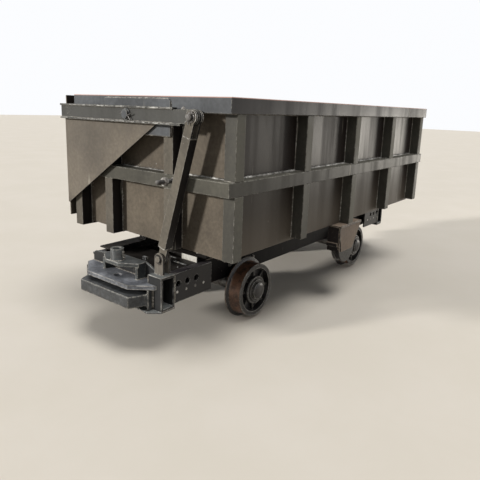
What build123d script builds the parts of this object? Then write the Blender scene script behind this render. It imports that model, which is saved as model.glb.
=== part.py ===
# Side dump ore cart for a mine railway, in millimetres.
# X runs along the track with the coupling ends at plus and minus X. The door is on
# the minus Y side and the lifting roller on the plus Y side. Z is up, and the wheel
# flanges touch Z = 0 below the middle of the body.
from build123d import *
import math
import os

# Running gear
gauge = 600.0
flange_play = 7.0
flange_thick = 20.0
flange_height = 25.0
tread_dia = 308.0
tread_width = 74.0
wheel_base = 1320.0
axle_dia = 60.0
axle_collar = 84.0
axle_end_in = 12.0
axle_fit = 0.3
hub_dia = 164.0
hub_step_dia = 124.0
hub_cap_dia = 98.0
hub_back_dia = 112.0
hub_stand = 28.0
wheel_rim_thick = 25.0
wheel_web = 14.0
wheel_spokes = 8
spoke_thick = 9.0
spoke_from_face = 20.0

# Underframe
wheel_clear = 23.0
sill_above_axle = 86.0
sill_depth = 143.0
sill_flange = 60.0
section_wall = 9.0
cross_places = (-930.0, -360.0, 0.0, 360.0, 930.0)
cross_width = 66.0
cover_length = 210.0
draft_length = 272.0
draft_drop = 8.0
draft_plate = 12.0
draft_set_in = 2.0
big_hole_dia = 34.0
big_hole_down = 56.0
big_hole_first = 27.0
big_holes = 3
small_hole_dia = 14.0
small_hole_down = 98.0
small_hole_first = 19.0
small_holes = 4
hole_pitch = 64.0
end_beam_past_rim = 90.0
end_beam_box = 90.0
end_beam_depth = 172.0
end_beam_past_sill = 48.0
end_beam_wall = 12.0
shelf_back = 43.0
shelf_end_in = 93.0
upright_end_in = 7.0
upright_shoulder = (10.0, 17.0)
upright_corner = 12.0
base_plate = 6.0
# Corners of the base plate, as steps from the buffer's neck: ahead of it and out past the buffer
base_corners = ((10.0, 24.0), (2.0, -27.0))
lug_y = (88.0, 112.0)
lug_height = 54.0
bracket_width = 150.0
bracket_foot = 93.0
bracket_thick = 45.0
bracket_below = 52.0

# Buffers and coupling
buffer_reach = 115.0
buffer_width = 444.0
buffer_face = 380.0
buffer_height = 63.0
buffer_corner = 52.0
buffer_neck = 36.0
buffer_wall = 14.0
buffer_wall_out = 4.0
slot_height = 24.0
top_plate_below = 44.0
top_plate_thick = 20.0
top_plate_reach = 90.0
top_plate_face = 316.0
top_plate_in = 32.0
bridge_width = 274.0
bridge_front = 58.0
bridge_face = 100.0
bridge_thick = 18.0
bridge_clear = 63.0
bridge_leg = 16.0
bridge_leg_length = 52.0
guide_dia = 66.0
guide_bore = 44.0
guide_height = 60.0
guide_ahead = 22.0
coupling_pin_bore = 40.0

# Load box
rim_length = 2500.0
body_width = 1250.0
body_depth = 714.5
plate = 8.0
rim_size = 70.0
rim_from_y = -495.0
post_width = 62.0
post_back = 4.5
post_below_floor = 18.0
post_foot = 80.0
side_skirt = 4.0
band_height = 67.0
band_top_below = 362.0
side_rib_set_in = 7.0
side_ribs_each_way = 2
end_post_places = (245.0, -212.0, -491.0)
wall_edge_y = -530.0
floor_edge_y = -538.0
floor_lip = 20.0
floor_fall = 26.0
bearer_from_hinge = (65.0, 83.0)
bearer_depth = 82.5
bearer_width = 70.0
bearer_shallow = 30.0
bearer_shallow_to_y = -170.0
bearer_deep_from_y = -110.0
bearer_edge_in = 10.0
pad_height = 50.0
pad_gap = 0.5
pad_length = 60.0

# Hinges and tilting
hinge_y = -190.0
hinge_below_floor = 52.5
hinge_set_in = 162.0
hinge_pin_dia = 30.0
hinge_eye = 52.0
hinge_lug_thick = 18.0
hinge_ear_thick = 12.0
hinge_gap = 3.0
hinge_pin_past = 8.0
rail_height = 42.0
rail_width = 86.0
rail_plate = 8.0
rail_web = 10.0
rail_web_in = 45.0
rail_end_back = 56.0

# Door
door_gap = 15.0
door_plate = 8.0
door_rib_depth = 72.0
door_rib_width = 62.0
door_bottom_above = 34.0
door_top_below = 5.0
door_rail = 66.0

# Door linkage
pivot_y = 0.0
pivot_below_rim = 90.0
eye_set_in = 180.0
arm_left_y = -562.0
arm_depth = 80.0
arm_web = 16.0
arm_flange = 10.0
arm_top_end_y = 322.0
arm_low_end_y = 368.0
arm_eye = 70.0
arm_pin_dia = 44.0
arm_pin_past = 17.0
arm_boss = 56.0
arm_washer = 5.0
link_pin_dia = 30.0
link_pin_play = 2.0
link_pin_past = 16.0
link_pin_head = 2.0
wing_plate = 8.0
wing_depth = 475.0
wing_right_y = 190.0
pivot_plate = 8.0
pivot_plate_low = 184.0
pivot_plate_high = 12.0
pivot_plate_left = 211.0
pivot_plate_right = 270.0
moving_gap = 6.0
link_size = 48.0
link_wall = 5.0
link_fork_thick = 10.0
link_fork_length = 92.0
link_tongue_length = 62.0
link_eye = 62.0
clevis_set_in = 55.0
clevis_above_frame = 78.0
clevis_width = 58.0
clevis_thick = 11.0
clevis_gap = 7.0
clevis_pin_past = 9.0
stud_dia = 24.0
stud_nut = 40.0
stud_nut_thick = 18.0
stud_nut_out = 51.0
stud_length = 112.0
stud_y = 285.0
stud_above_band = 8.0

# Lifting roller
roller_dia = 220.0
roller_width = 56.0
roller_groove = 8.0
roller_lip = 15.0
roller_edge = 3.0
roller_below_floor = 178.5
roller_pin_dia = 40.0
roller_pin_past = 14.0
roller_gap = 7.0
roller_plate = 8.0
# The bracket's outer plate: how far it reaches each way along X at its top and at its foot
roller_plate_top = (-158.0, 138.0)
roller_plate_foot = (-45.0, 110.0)
roller_plate_below = 199.0
# The bracket's webs: the face away from the roller, the way to the roller, and the depth
roller_webs = ((-134.0, 1, 38.0), (138.0, -1, 156.0))
roller_bar_width = 14.0
roller_bar_height = 22.0
roller_bar_above_foot = 38.0
roller_bar_back = 12.0

# Levels that follow from the sizes above
axle_z = tread_dia / 2 + flange_height
sill_low_z = axle_z + sill_above_axle
frame_top_z = sill_low_z + sill_depth
end_beam_low_z = frame_top_z - end_beam_depth
bearer_low_z = frame_top_z + pad_height + pad_gap
floor_high_z = bearer_low_z + bearer_depth
post_low_z = floor_high_z - post_below_floor
wall_low_z = floor_high_z - floor_fall - side_skirt
rim_top_z = floor_high_z + body_depth
rim_low_z = rim_top_z - rim_size
band_top_z = rim_top_z - band_top_below
band_low_z = band_top_z - band_height
rail_top_z = frame_top_z + rail_height
hinge_z = floor_high_z - hinge_below_floor
pivot_z = rim_top_z - pivot_below_rim
clevis_z = frame_top_z + clevis_above_frame

# Faces along X and Y that follow from the sizes above
wheel_back_y = gauge / 2 - flange_play - flange_thick
wheel_face_y = wheel_back_y + flange_thick + tread_width
frame_y = wheel_back_y - wheel_clear
rim_x = rim_length / 2
wall_x = rim_x - rim_size
inside_x = wall_x - plate
post_x = rim_x - post_back
end_beam_reach = rim_x + end_beam_past_rim
end_box_x = end_beam_reach - end_beam_box
end_box_y = frame_y + end_beam_past_sill
shelf_x = end_beam_reach - shelf_back
shelf_end_y = end_box_y - shelf_end_in
draft_from_x = end_box_x - draft_length
draft_out_y = end_box_y - draft_set_in
side_y = body_width / 2
side_wall_y = side_y - rim_size
inside_y = side_wall_y - plate
rib_y = side_y - post_back
door_in_y = wall_edge_y - door_gap
door_out_y = door_in_y - door_plate
door_face_y = door_out_y - door_rib_depth
eye_y = side_y - eye_set_in
clevis_y = end_box_y - clevis_set_in
pivot_face_x = rim_x + pivot_plate
wing_x = pivot_face_x + moving_gap
web_x = wing_x + wing_plate
web_out_x = web_x + arm_web
link_mid_x = web_x + arm_web / 2
half_post = post_width / 2
rib_pitch = (wall_x - side_rib_set_in) / side_ribs_each_way
rib_places = [rib_pitch * n for n in range(-side_ribs_each_way, side_ribs_each_way + 1)]
hinge_x = inside_x - hinge_set_in
hinge_places = (-hinge_x, -hinge_x / 3, hinge_x / 3, hinge_x)
outer_bearer_x = hinge_x - bearer_from_hinge[0]
inner_bearer_x = hinge_x / 3 + bearer_from_hinge[1]
bearer_places = (-outer_bearer_x, -inner_bearer_x, inner_bearer_x, outer_bearer_x)

os.makedirs("parts", exist_ok=True)


def block(x, y, z):
    """A box between pairs of x, y and z."""
    size = [abs(pair[1] - pair[0]) for pair in (x, y, z)]
    middle = [(pair[0] + pair[1]) / 2 for pair in (x, y, z)]
    return Pos(*middle) * Box(*size)


def outline(plane, points, start, end):
    """A flat outline on one of the main planes, thickened from start to end."""
    face = plane.offset(start) * make_face(Polyline(*points, close=True))
    return extrude(face, end - start, dir=plane.z_dir)


def plate_across(points, x):
    """Points are (y, z) and the thickness runs along x."""
    return outline(Plane.YZ, points, x[0], x[1])


def plate_flat(points, z):
    """Points are (x, y) and the thickness runs along z."""
    return outline(Plane.XY, points, z[0], z[1])


def plate_along(points, y):
    """Points are (x, z) and the thickness runs along y."""
    return outline(Plane.XZ, points, -y[1], -y[0])


def mirrored_points(points):
    """Points (x, y) with plus y, followed back by the same with minus y."""
    return points + [(x, -y) for x, y in reversed(points)]


def rod_x(y, z, dia, x):
    return Pos((x[0] + x[1]) / 2, y, z) * Rot(0, 90, 0) * Cylinder(dia / 2, x[1] - x[0])


def rod_y(x, z, dia, y):
    return Pos(x, (y[0] + y[1]) / 2, z) * Rot(90, 0, 0) * Cylinder(dia / 2, y[1] - y[0])


def rod_z(x, y, dia, z):
    return Pos(x, y, (z[0] + z[1]) / 2) * Cylinder(dia / 2, z[1] - z[0])


def rear(shape):
    return mirror(shape, Plane.YZ)


def other_side(shape):
    return mirror(shape, Plane.XZ)


def both_ends(shape):
    return [shape, rear(shape)]


def both_sides(shape):
    return [shape, other_side(shape)]


def save(name, *shapes):
    """Write one node from one solid, or from several that do not touch."""
    solids = [solid for shape in shapes for solid in shape.solids()]
    whole = solids[0] if len(solids) == 1 else Compound(solids)
    export_step(whole, f"parts/{name}.step")


def joined(shapes):
    whole = shapes[0]
    for shape in shapes[1:]:
        whole = whole + shape
    return whole


def floor_under(y):
    """The height of the sloping floor's underside, which falls away from the door."""
    return floor_high_z - floor_fall * (y - floor_edge_y) / (inside_y - floor_edge_y)


def up_to_floor(x, y, low_z):
    """A block between pairs of x and y, from low_z up to the underside of the floor."""
    points = [(y[0], low_z), (y[1], low_z), (y[1], floor_under(y[1])), (y[0], floor_under(y[0]))]
    return plate_across(points, x)


# Wheels and axles
def wheel():
    """A flanged wheel with a ribbed web on the plus Y side, with its axis through the origin."""
    tread = tread_dia / 2
    back = wheel_back_y
    face = wheel_face_y
    throat = back + flange_thick
    flange = tread + flange_height
    inner = tread - wheel_rim_thick
    middle = (back + face) / 2
    ring = [(inner, back), (flange - 5, back), (flange, back + 4), (flange, back + 9),
            (flange - 6, throat - 7), (tread + 5, throat - 3), (tread + 1.5, throat + 3),
            (tread - 2, face - 4), (tread - 6, face), (inner, face)]
    disc = [(axle_dia / 2, middle - wheel_web / 2), (inner, middle - wheel_web / 2),
            (inner, middle + wheel_web / 2), (axle_dia / 2, middle + wheel_web / 2)]
    hub, step, cap = hub_dia / 2, hub_step_dia / 2, hub_cap_dia / 2
    top = face + hub_stand
    socket = face - axle_end_in
    boss = [(0, top), (cap * 0.55, top - 1), (cap * 0.88, top - 5), (cap, top - 11), (cap, face + 8),
            (step, face + 8), (step, face + 1), (hub - 6, face + 1), (hub, face - 5), (hub, middle),
            (hub_back_dia / 2, middle), (hub_back_dia / 2, back + 6), (axle_dia / 2, back + 6),
            (axle_dia / 2, socket), (0, socket)]
    turned = [revolve(make_face(Polyline(*points, close=True)), Axis.Y) for points in (ring, disc, boss)]
    spoke = block((hub - 4, inner + 4), (middle, face - spoke_from_face), (-spoke_thick / 2, spoke_thick / 2))
    spokes = [Rot(0, turn * 360 / wheel_spokes, 0) * spoke for turn in range(wheel_spokes)]
    return joined(turned + spokes)


wheel_at_middle = wheel()
for end, x in (("front", wheel_base / 2), ("rear", -wheel_base / 2)):
    save(f"wheel_{end}_roller_side", Pos(x, 0, axle_z) * wheel_at_middle)
    save(f"wheel_{end}_door_side", Pos(x, 0, axle_z) * other_side(wheel_at_middle))
    reach = wheel_face_y - axle_end_in
    collar_y = frame_y - bracket_thick - 1
    axle = rod_y(x, axle_z, axle_dia, (-reach, reach))
    save(f"axle_{end}", axle + rod_y(x, axle_z, axle_collar, (-collar_y, collar_y)))


# Underframe
def channel(x, y_out, y_in, z):
    """A channel along X with its web at y_out and its flanges towards y_in."""
    step = section_wall if y_in > y_out else -section_wall
    hollow = block((x[0] - 1, x[1] + 1), (y_out + step, y_in + step),
                   (z[0] + section_wall, z[1] - section_wall))
    return block(x, (y_out, y_in), z) - hollow


sill = channel((-end_box_x, end_box_x), frame_y, frame_y - sill_flange, (sill_low_z, frame_top_z))
save("sill_roller_side", sill)
save("sill_door_side", other_side(sill))


def cross_member(x):
    """A channel on its side between the webs of the sills."""
    low, high = x - cross_width / 2, x + cross_width / 2
    cross_y = frame_y - section_wall
    outside = block((low, high), (-cross_y, cross_y),
                    (sill_low_z + section_wall, frame_top_z - section_wall))
    hollow = block((low + section_wall, high + 1), (-cross_y - 1, cross_y + 1),
                   (sill_low_z + 2 * section_wall, frame_top_z - 2 * section_wall))
    return outside - hollow


# Flat covers between the tops of the sills, next to the end beams
cover_y = frame_y - sill_flange
cover = block((end_box_x - cover_length, end_box_x), (-cover_y, cover_y),
              (frame_top_z - section_wall, frame_top_z))
save("cross_members", *[cross_member(x) for x in cross_places], *both_ends(cover))


def draft_side():
    """The drilled plate outside the end of a sill, with a flange back to the sill."""
    x = (draft_from_x, end_box_x)
    web_y = (draft_out_y - draft_plate, draft_out_y)
    web = block(x, web_y, (sill_low_z - draft_drop, frame_top_z))
    side = web + block(x, (frame_y, draft_out_y), (frame_top_z - section_wall, frame_top_z))
    hole_y = (web_y[0] - 1, web_y[1] + 1)
    for step in range(big_holes):
        hole_x = end_box_x - big_hole_first - step * hole_pitch
        side = side - rod_y(hole_x, frame_top_z - big_hole_down, big_hole_dia, hole_y)
    for step in range(small_holes):
        hole_x = end_box_x - small_hole_first - step * hole_pitch
        side = side - rod_y(hole_x, frame_top_z - small_hole_down, small_hole_dia, hole_y)
    return side


save("draft_plates", *[end for side in both_sides(draft_side()) for end in both_ends(side)])

# Buffer, top plate and coupling bridge levels at each end
top_plate_z = frame_top_z - top_plate_below
slot_top_z = top_plate_z - top_plate_thick
buffer_top_z = slot_top_z - slot_height
buffer_low_z = buffer_top_z - buffer_height
bridge_low_z = top_plate_z + bridge_clear
bridge_top_z = bridge_low_z + bridge_thick
buffer_x = end_beam_reach + buffer_reach
guide_x = end_beam_reach + guide_ahead
neck_x = end_beam_reach + buffer_neck
half_buffer = buffer_width / 2
half_bridge = bridge_width / 2


def upright_plate():
    """The plate that stands on the shelf behind the top plate, notched for the bridge."""
    right_z, left_z = (frame_top_z + shoulder for shoulder in upright_shoulder)
    left_y = upright_end_in - end_box_y
    peak_z = bridge_top_z - 2
    points = [(shelf_end_y, slot_top_z), (shelf_end_y, right_z), (half_bridge + 8, peak_z),
              (half_bridge, peak_z), (half_bridge, bridge_low_z), (-half_bridge, bridge_low_z),
              (-half_bridge, peak_z), (-shelf_end_y, left_z), (left_y + upright_corner, right_z),
              (left_y, right_z - upright_corner), (left_y, slot_top_z)]
    return plate_across(points, (shelf_x - end_beam_wall, shelf_x))


def end_beam():
    """A box open at its ends, cut down in front for the top plate."""
    low = end_beam_low_z
    wall = end_beam_wall
    top = frame_top_z
    whole = (-end_box_y, end_box_y)
    corner = (shelf_end_y, end_box_y)
    back_web = block((end_box_x, end_box_x + wall), whole, (low, top))
    front_web = block((end_beam_reach - wall, end_beam_reach), whole, (low, slot_top_z))
    bottom = block((end_box_x, end_beam_reach), whole, (low, low + wall))
    corner_web = block((end_beam_reach - wall, end_beam_reach), corner, (low, top))
    corner_top = block((end_box_x, end_beam_reach), corner, (top - wall, top))
    corner_side = block((shelf_x - wall, end_beam_reach), (shelf_end_y, shelf_end_y + wall),
                        (slot_top_z, top))
    shelf_top = block((end_box_x, shelf_x), (-end_box_y, shelf_end_y), (top - wall, top))
    lug = block((end_box_x + wall, end_box_x + 2 * wall), lug_y, (top, top + lug_height))
    base_points = [(end_box_x, end_box_y), (end_beam_reach, end_box_y)]
    base_points += [(neck_x + ahead, half_buffer + out) for ahead, out in base_corners]
    base = plate_flat(mirrored_points(base_points), (low - base_plate, low))
    return joined([back_web, front_web, bottom, corner_web, corner_top, corner_side, shelf_top,
                   upright_plate(), lug, base])


save("end_beam_front", end_beam())
save("end_beam_rear", rear(end_beam()))


def buffer():
    """The cast block that meets the next cart, on its neck between two side walls."""
    wall_y = half_buffer + buffer_wall_out
    head_points = [(neck_x, half_buffer), (buffer_x - buffer_corner, half_buffer - 6),
                   (buffer_x, buffer_face / 2)]
    head = plate_flat(mirrored_points(head_points), (buffer_low_z, buffer_top_z))
    neck = block((end_beam_reach, neck_x), (-wall_y, wall_y), (buffer_low_z, buffer_top_z))
    sides = [block((end_beam_reach, neck_x - 4), (side * wall_y, side * (wall_y + buffer_wall)),
                   (end_beam_low_z, slot_top_z)) for side in (-1, 1)]
    hole = rod_z(guide_x, 0, coupling_pin_bore, (buffer_low_z - 1, buffer_top_z + 1))
    return joined([head, neck] + sides) - hole


def top_plate():
    """The plate over the slot, let into the end beam as far as the upright plate."""
    x = end_beam_reach + top_plate_reach
    half = top_plate_face / 2
    wide = end_box_y - top_plate_in
    points = [(shelf_x, shelf_end_y), (end_beam_reach, shelf_end_y), (end_beam_reach, wide),
              (end_beam_reach + 11, wide - 8), (x, half), (x, -half),
              (end_beam_reach - 6, -end_box_y + 6), (shelf_x, -end_box_y + 2)]
    hole = rod_z(guide_x, 0, coupling_pin_bore, (slot_top_z - 1, top_plate_z + 1))
    return plate_flat(points, (slot_top_z, top_plate_z)) - hole


def bridge():
    """The raised plate over the top plate, with the upright guide for the coupling pin."""
    points = [(shelf_x - end_beam_wall, half_bridge), (end_beam_reach, half_bridge),
              (end_beam_reach + bridge_front, bridge_face / 2)]
    roof = plate_flat(mirrored_points(points), (bridge_low_z, bridge_top_z))
    legs = [block((shelf_x, shelf_x + bridge_leg_length),
                  (side * (half_bridge - bridge_leg), side * half_bridge),
                  (top_plate_z, bridge_low_z)) for side in (-1, 1)]
    guide = rod_z(guide_x, 0, guide_dia, (bridge_low_z, bridge_top_z + guide_height))
    bore = rod_z(guide_x, 0, guide_bore, (bridge_low_z - 1, bridge_top_z + guide_height + 1))
    return joined([roof] + legs + [guide]) - bore


save("buffer_front", buffer())
save("buffer_rear", rear(buffer()))
save("buffer_top_plates", *both_ends(top_plate()))
save("coupling_bridges", *both_ends(bridge()))


# Axle brackets below the sills
def axle_bracket(x):
    half = bracket_width / 2
    foot = bracket_foot / 2
    points = [(x - half, sill_low_z), (x - foot, axle_z - bracket_below),
              (x + foot, axle_z - bracket_below), (x + half, sill_low_z)]
    y = (frame_y - bracket_thick, frame_y)
    return plate_along(points, y) - rod_y(x, axle_z, axle_dia + 2 * axle_fit, (y[0] - 1, y[1] + 1))


brackets = [axle_bracket(x) for x in (wheel_base / 2, -wheel_base / 2)]
save("axle_brackets", *[side for bracket in brackets for side in both_sides(bracket)])


# Hinge rail on the door side sill, with the ears and pins of the tipping hinges
def hinge_rail():
    reach = end_beam_reach - rail_end_back
    web_y = -frame_y + rail_web_in
    plate_low_z = rail_top_z - rail_plate
    shapes = [block((-reach, reach), (-frame_y, -frame_y + rail_width), (plate_low_z, rail_top_z)),
              block((-reach, reach), (web_y, web_y + rail_web), (frame_top_z, plate_low_z))]
    inner = hinge_lug_thick / 2 + hinge_gap
    outer = inner + hinge_ear_thick
    pin_end = outer + hinge_pin_past
    half = hinge_eye / 2
    for x in hinge_places:
        for side in (-1, 1):
            low, high = sorted((x + side * inner, x + side * outer))
            shapes.append(block((low, high), (hinge_y - half, hinge_y + half), (rail_top_z, hinge_z)))
            shapes.append(rod_x(hinge_y, hinge_z, hinge_eye, (low, high)))
        shapes.append(rod_x(hinge_y, hinge_z, hinge_pin_dia, (x - pin_end, x + pin_end)))
    return joined(shapes)


save("hinge_rail", hinge_rail())

# Pads on the roller side sill, where the box rests when level
pads = [block((x - pad_length / 2, x + pad_length / 2), (frame_y - sill_flange, frame_y),
              (frame_top_z, frame_top_z + pad_height)) for x in bearer_places]
save("rest_pads", *pads)


# Clevis on each end beam for the foot of the door link
def clevis():
    half = clevis_width / 2
    inner = arm_web / 2 + clevis_gap
    shapes = []
    for side in (-1, 1):
        low, high = sorted((link_mid_x + side * inner, link_mid_x + side * (inner + clevis_thick)))
        shapes.append(block((low, high), (clevis_y - half, clevis_y + half), (frame_top_z, clevis_z)))
        shapes.append(rod_x(clevis_y, clevis_z, clevis_width, (low, high)))
    reach = inner + clevis_thick + clevis_pin_past
    shapes.append(rod_x(clevis_y, clevis_z, link_pin_dia, (link_mid_x - reach, link_mid_x + reach)))
    return joined(shapes)


save("link_clevises", *both_ends(clevis()))


# Load box: floor, walls and their stiffeners
def floor():
    """The sloping floor, with a lip that stands up along the door."""
    lip_z = floor_high_z + plate + floor_lip
    points = [(floor_edge_y, floor_high_z), (inside_y, floor_under(inside_y)),
              (inside_y, floor_under(inside_y) + plate), (wall_edge_y, floor_under(wall_edge_y) + plate),
              (wall_edge_y, lip_z), (floor_edge_y, lip_z)]
    return plate_across(points, (-inside_x, inside_x))


save("floor_plate", floor())
save("side_wall", block((-wall_x, wall_x), (inside_y, side_wall_y), (wall_low_z, rim_top_z)))
end_wall = plate_across([(wall_edge_y, floor_under(wall_edge_y)), (inside_y, floor_under(inside_y)),
                         (inside_y, rim_top_z), (wall_edge_y, rim_top_z)], (inside_x, wall_x))
save("end_wall_front", end_wall)
save("end_wall_rear", rear(end_wall))


def belt(x_out, y_from, y_out, z):
    """A channel that runs round both ends and the roller side, closed by the wall plates."""
    outside = block((-x_out, x_out), (y_from, y_out), z)
    inside = block((-wall_x, wall_x), (y_from - 1, side_wall_y), (z[0] - 1, z[1] + 1))
    hollow = block((-x_out + plate, x_out - plate), (y_from + plate, y_out - plate),
                   (z[0] + plate, z[1] - plate))
    return outside - inside - hollow


save("rim_frame", belt(rim_x, rim_from_y, side_y, (rim_low_z, rim_top_z)))
save("mid_band", belt(post_x, wall_edge_y, rib_y, (band_low_z, band_top_z)))


def side_rib(x, z):
    """A pressed channel with its open face on the side wall."""
    solid = block((x - half_post, x + half_post), (side_wall_y, rib_y), z)
    hollow = block((x - half_post + plate, x + half_post - plate), (side_wall_y - 1, rib_y - plate),
                   (z[0] - 1, z[1] + 1))
    return solid - hollow


def end_post(y, z):
    """A pressed channel with its open face on the end wall."""
    solid = block((wall_x, post_x), (y - half_post, y + half_post), z)
    hollow = block((wall_x - 1, post_x - plate), (y - half_post + plate, y + half_post - plate),
                   (z[0] - 1, z[1] + 1))
    return solid - hollow


ribs = [side_rib(x, (band_top_z, rim_low_z)) for x in rib_places]
for x in rib_places:
    over_roller = roller_plate_top[0] < x < roller_plate_top[1]
    ribs.append(side_rib(x, (wall_low_z if over_roller else post_low_z, band_low_z)))
save("side_ribs", *ribs)

posts = [end_post(y, z) for y in end_post_places
         for z in ((post_low_z, band_low_z), (band_top_z, rim_low_z))]
save("end_posts", *[end for post in posts for end in both_ends(post)])


def bearer(x):
    """A cross bearer under the floor, shallow over the hinges and deep where it meets the pads."""
    half = bearer_width / 2
    wall = section_wall
    start = floor_edge_y + bearer_edge_in
    shallow_z = floor_high_z - bearer_shallow
    points = [(start, shallow_z), (bearer_shallow_to_y, shallow_z), (bearer_deep_from_y, bearer_low_z),
              (frame_y, bearer_low_z), (frame_y, floor_under(frame_y)), (start, floor_under(start))]
    core = [(start + wall, shallow_z + wall), (bearer_shallow_to_y + wall / 2, shallow_z + wall),
            (bearer_deep_from_y + wall / 2, bearer_low_z + wall), (frame_y - wall, bearer_low_z + wall),
            (frame_y - wall, floor_high_z), (start + wall, floor_high_z)]
    return plate_across(points, (x - half, x + half)) - plate_across(core, (x - half + wall, x + half - wall))


# Stubs under the edge of the floor carry on from the end posts on the door half
feet = [up_to_floor((wall_x - post_foot, wall_x), (y - half_post, y + half_post), post_low_z)
        for y in end_post_places if y < bearer_shallow_to_y]
save("floor_bearers", *[bearer(x) for x in bearer_places], *[end for foot in feet for end in both_ends(foot)])


def hinge_lug(x):
    half = hinge_lug_thick / 2
    eye = hinge_eye / 2
    lug = up_to_floor((x - half, x + half), (hinge_y - eye, hinge_y + eye), hinge_z)
    lug = lug + rod_x(hinge_y, hinge_z, hinge_eye, (x - half, x + half))
    return lug - rod_x(hinge_y, hinge_z, hinge_pin_dia + 2 * axle_fit, (x - half - 1, x + half + 1))


save("hinge_lugs", *[hinge_lug(x) for x in hinge_places])


def pivot_mount():
    """The plate on the box end that carries the door pivot pin."""
    top = rim_top_z - pivot_plate_high
    low = rim_top_z - pivot_plate_low
    left = pivot_y - pivot_plate_left
    right = pivot_y + pivot_plate_right
    points = [(left, low), (right, low), (right, top - 12), (right - 12, top), (left, top)]
    body = plate_across(points, (rim_x, pivot_face_x))
    filler = block((post_x, rim_x), (left, right), (low, rim_low_z))
    boss = rod_x(pivot_y, pivot_z, arm_boss, (pivot_face_x, web_x - 2))
    pin = rod_x(pivot_y, pivot_z, arm_pin_dia, (pivot_face_x, web_out_x + arm_pin_past))
    washer = rod_x(pivot_y, pivot_z, arm_boss, (web_out_x + 1, web_out_x + 1 + arm_washer))
    return joined([body, filler, boss, pin, washer])


save("pivot_plates", *both_ends(pivot_mount()))

stud_z = (band_top_z + band_low_z) / 2 + stud_above_band
stud = rod_x(stud_y, stud_z, stud_dia, (post_x, post_x + stud_length))
nut = rod_x(stud_y, stud_z, stud_nut, (post_x + stud_nut_out, post_x + stud_nut_out + stud_nut_thick))
save("stop_studs", *both_ends(stud + nut))

# Lifting roller in its bracket below the middle of the roller side
roller_z = floor_high_z - roller_below_floor
roller_mid_y = rib_y - roller_plate - roller_gap - roller_width / 2
roller_in_y = roller_mid_y - roller_width / 2 - roller_gap


def roller_bracket():
    """A lid under the side wall, an outer and an inner plate, two webs, a bar and the pin."""
    foot_z = floor_high_z - roller_plate_below
    lid_z = wall_low_z - roller_plate
    bar_z = foot_z + roller_bar_above_foot
    lid_x = roller_plate_top
    inner_y = roller_in_y - roller_plate
    points = [(lid_x[0], lid_z), (roller_plate_foot[0], foot_z), (roller_plate_foot[1], foot_z),
              (lid_x[1], lid_z)]
    shapes = [plate_along(points, (rib_y - roller_plate, rib_y)),
              plate_along(points, (inner_y, roller_in_y)),
              block(lid_x, (inner_y, rib_y), (lid_z, wall_low_z)),
              up_to_floor(lid_x, (inner_y, roller_in_y), wall_low_z),
              rod_y(0, roller_z, roller_pin_dia, (inner_y - roller_pin_past, rib_y))]
    for face_x, inward, depth in roller_webs:
        web_x_pair = sorted((face_x, face_x + inward * roller_plate))
        shapes.append(block(web_x_pair, (inner_y, rib_y), (lid_z - depth, lid_z)))
    shapes.append(block((lid_x[1], lid_x[1] + roller_bar_width), (inner_y, rib_y - roller_bar_back),
                        (bar_z, bar_z + roller_bar_height)))
    return joined(shapes)


def roller():
    half = roller_width / 2
    big = roller_dia / 2
    edge = roller_edge
    small = big - roller_groove
    lip = half - roller_lip
    bore = roller_pin_dia / 2 + axle_fit
    points = [(bore, -half), (big - edge, -half), (big, -half + edge), (big, -lip - edge), (small, -lip),
              (small, lip), (big, lip + edge), (big, half - edge), (big - edge, half), (bore, half)]
    return Pos(0, roller_mid_y, roller_z) * revolve(make_face(Polyline(*points, close=True)), Axis.Y)


save("roller_bracket", roller_bracket())
save("dump_roller", roller())

# Door and its arms
door_low_z = floor_high_z + door_bottom_above
door_top_z = rim_top_z - door_top_below
save("door_panel", block((-wing_x, wing_x), (door_out_y, door_in_y), (door_low_z, door_top_z)))


def door_rib(x, z):
    half = door_rib_width / 2
    rib = block((x - half, x + half), (door_face_y, door_out_y), z)
    hollow = block((x - half + plate, x + half - plate), (door_face_y + plate, door_out_y + 1),
                   (z[0] - 1, z[1] + 1))
    return rib - hollow


def door_rail_at(z):
    reach = rib_places[-1] + door_rib_width / 2
    rail = block((-reach, reach), (door_face_y, door_out_y), z)
    hollow = block((-reach + plate, reach - plate), (door_face_y + plate, door_out_y + 1),
                   (z[0] + plate, z[1] - plate))
    return rail - hollow


low_rail = (door_low_z, door_low_z + door_rail)
top_rail = (door_top_z - door_rail, door_top_z)
rib_spans = ((low_rail[1], band_low_z), (band_top_z, top_rail[0]))
save("door_ribs", *[door_rib(x, z) for x in rib_places for z in rib_spans])
save("door_rails", *[door_rail_at(z) for z in (low_rail, (band_low_z, band_top_z), top_rail)])


def door_arm():
    """The arm across the box end, from the door to the eye of the link."""
    top = pivot_z + arm_depth / 2
    low = pivot_z - arm_depth / 2
    half = arm_eye / 2
    points = [(arm_left_y, low + arm_flange), (arm_low_end_y, low + arm_flange), (eye_y, pivot_z - half),
              (eye_y, pivot_z + half), (arm_top_end_y, top - arm_flange), (arm_left_y, top - arm_flange)]
    web = plate_across(points, (web_x, web_out_x))
    eye = rod_x(eye_y, pivot_z, arm_eye, (web_x, web_out_x))
    flange_x = (wing_x, 2 * link_mid_x - wing_x)
    upper = block(flange_x, (arm_left_y, arm_top_end_y), (top - arm_flange, top))
    lower = block(flange_x, (arm_left_y, arm_low_end_y), (low, low + arm_flange))
    through = (web_x - 1, web_out_x + 1)
    pivot_bore = rod_x(pivot_y, pivot_z, arm_pin_dia + 2 * axle_fit, through)
    eye_bore = rod_x(eye_y, pivot_z, link_pin_dia + 2 * link_pin_play, through)
    return joined([web, eye, upper, lower]) - pivot_bore - eye_bore


save("door_arm_front", door_arm())
save("door_arm_rear", rear(door_arm()))

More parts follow.
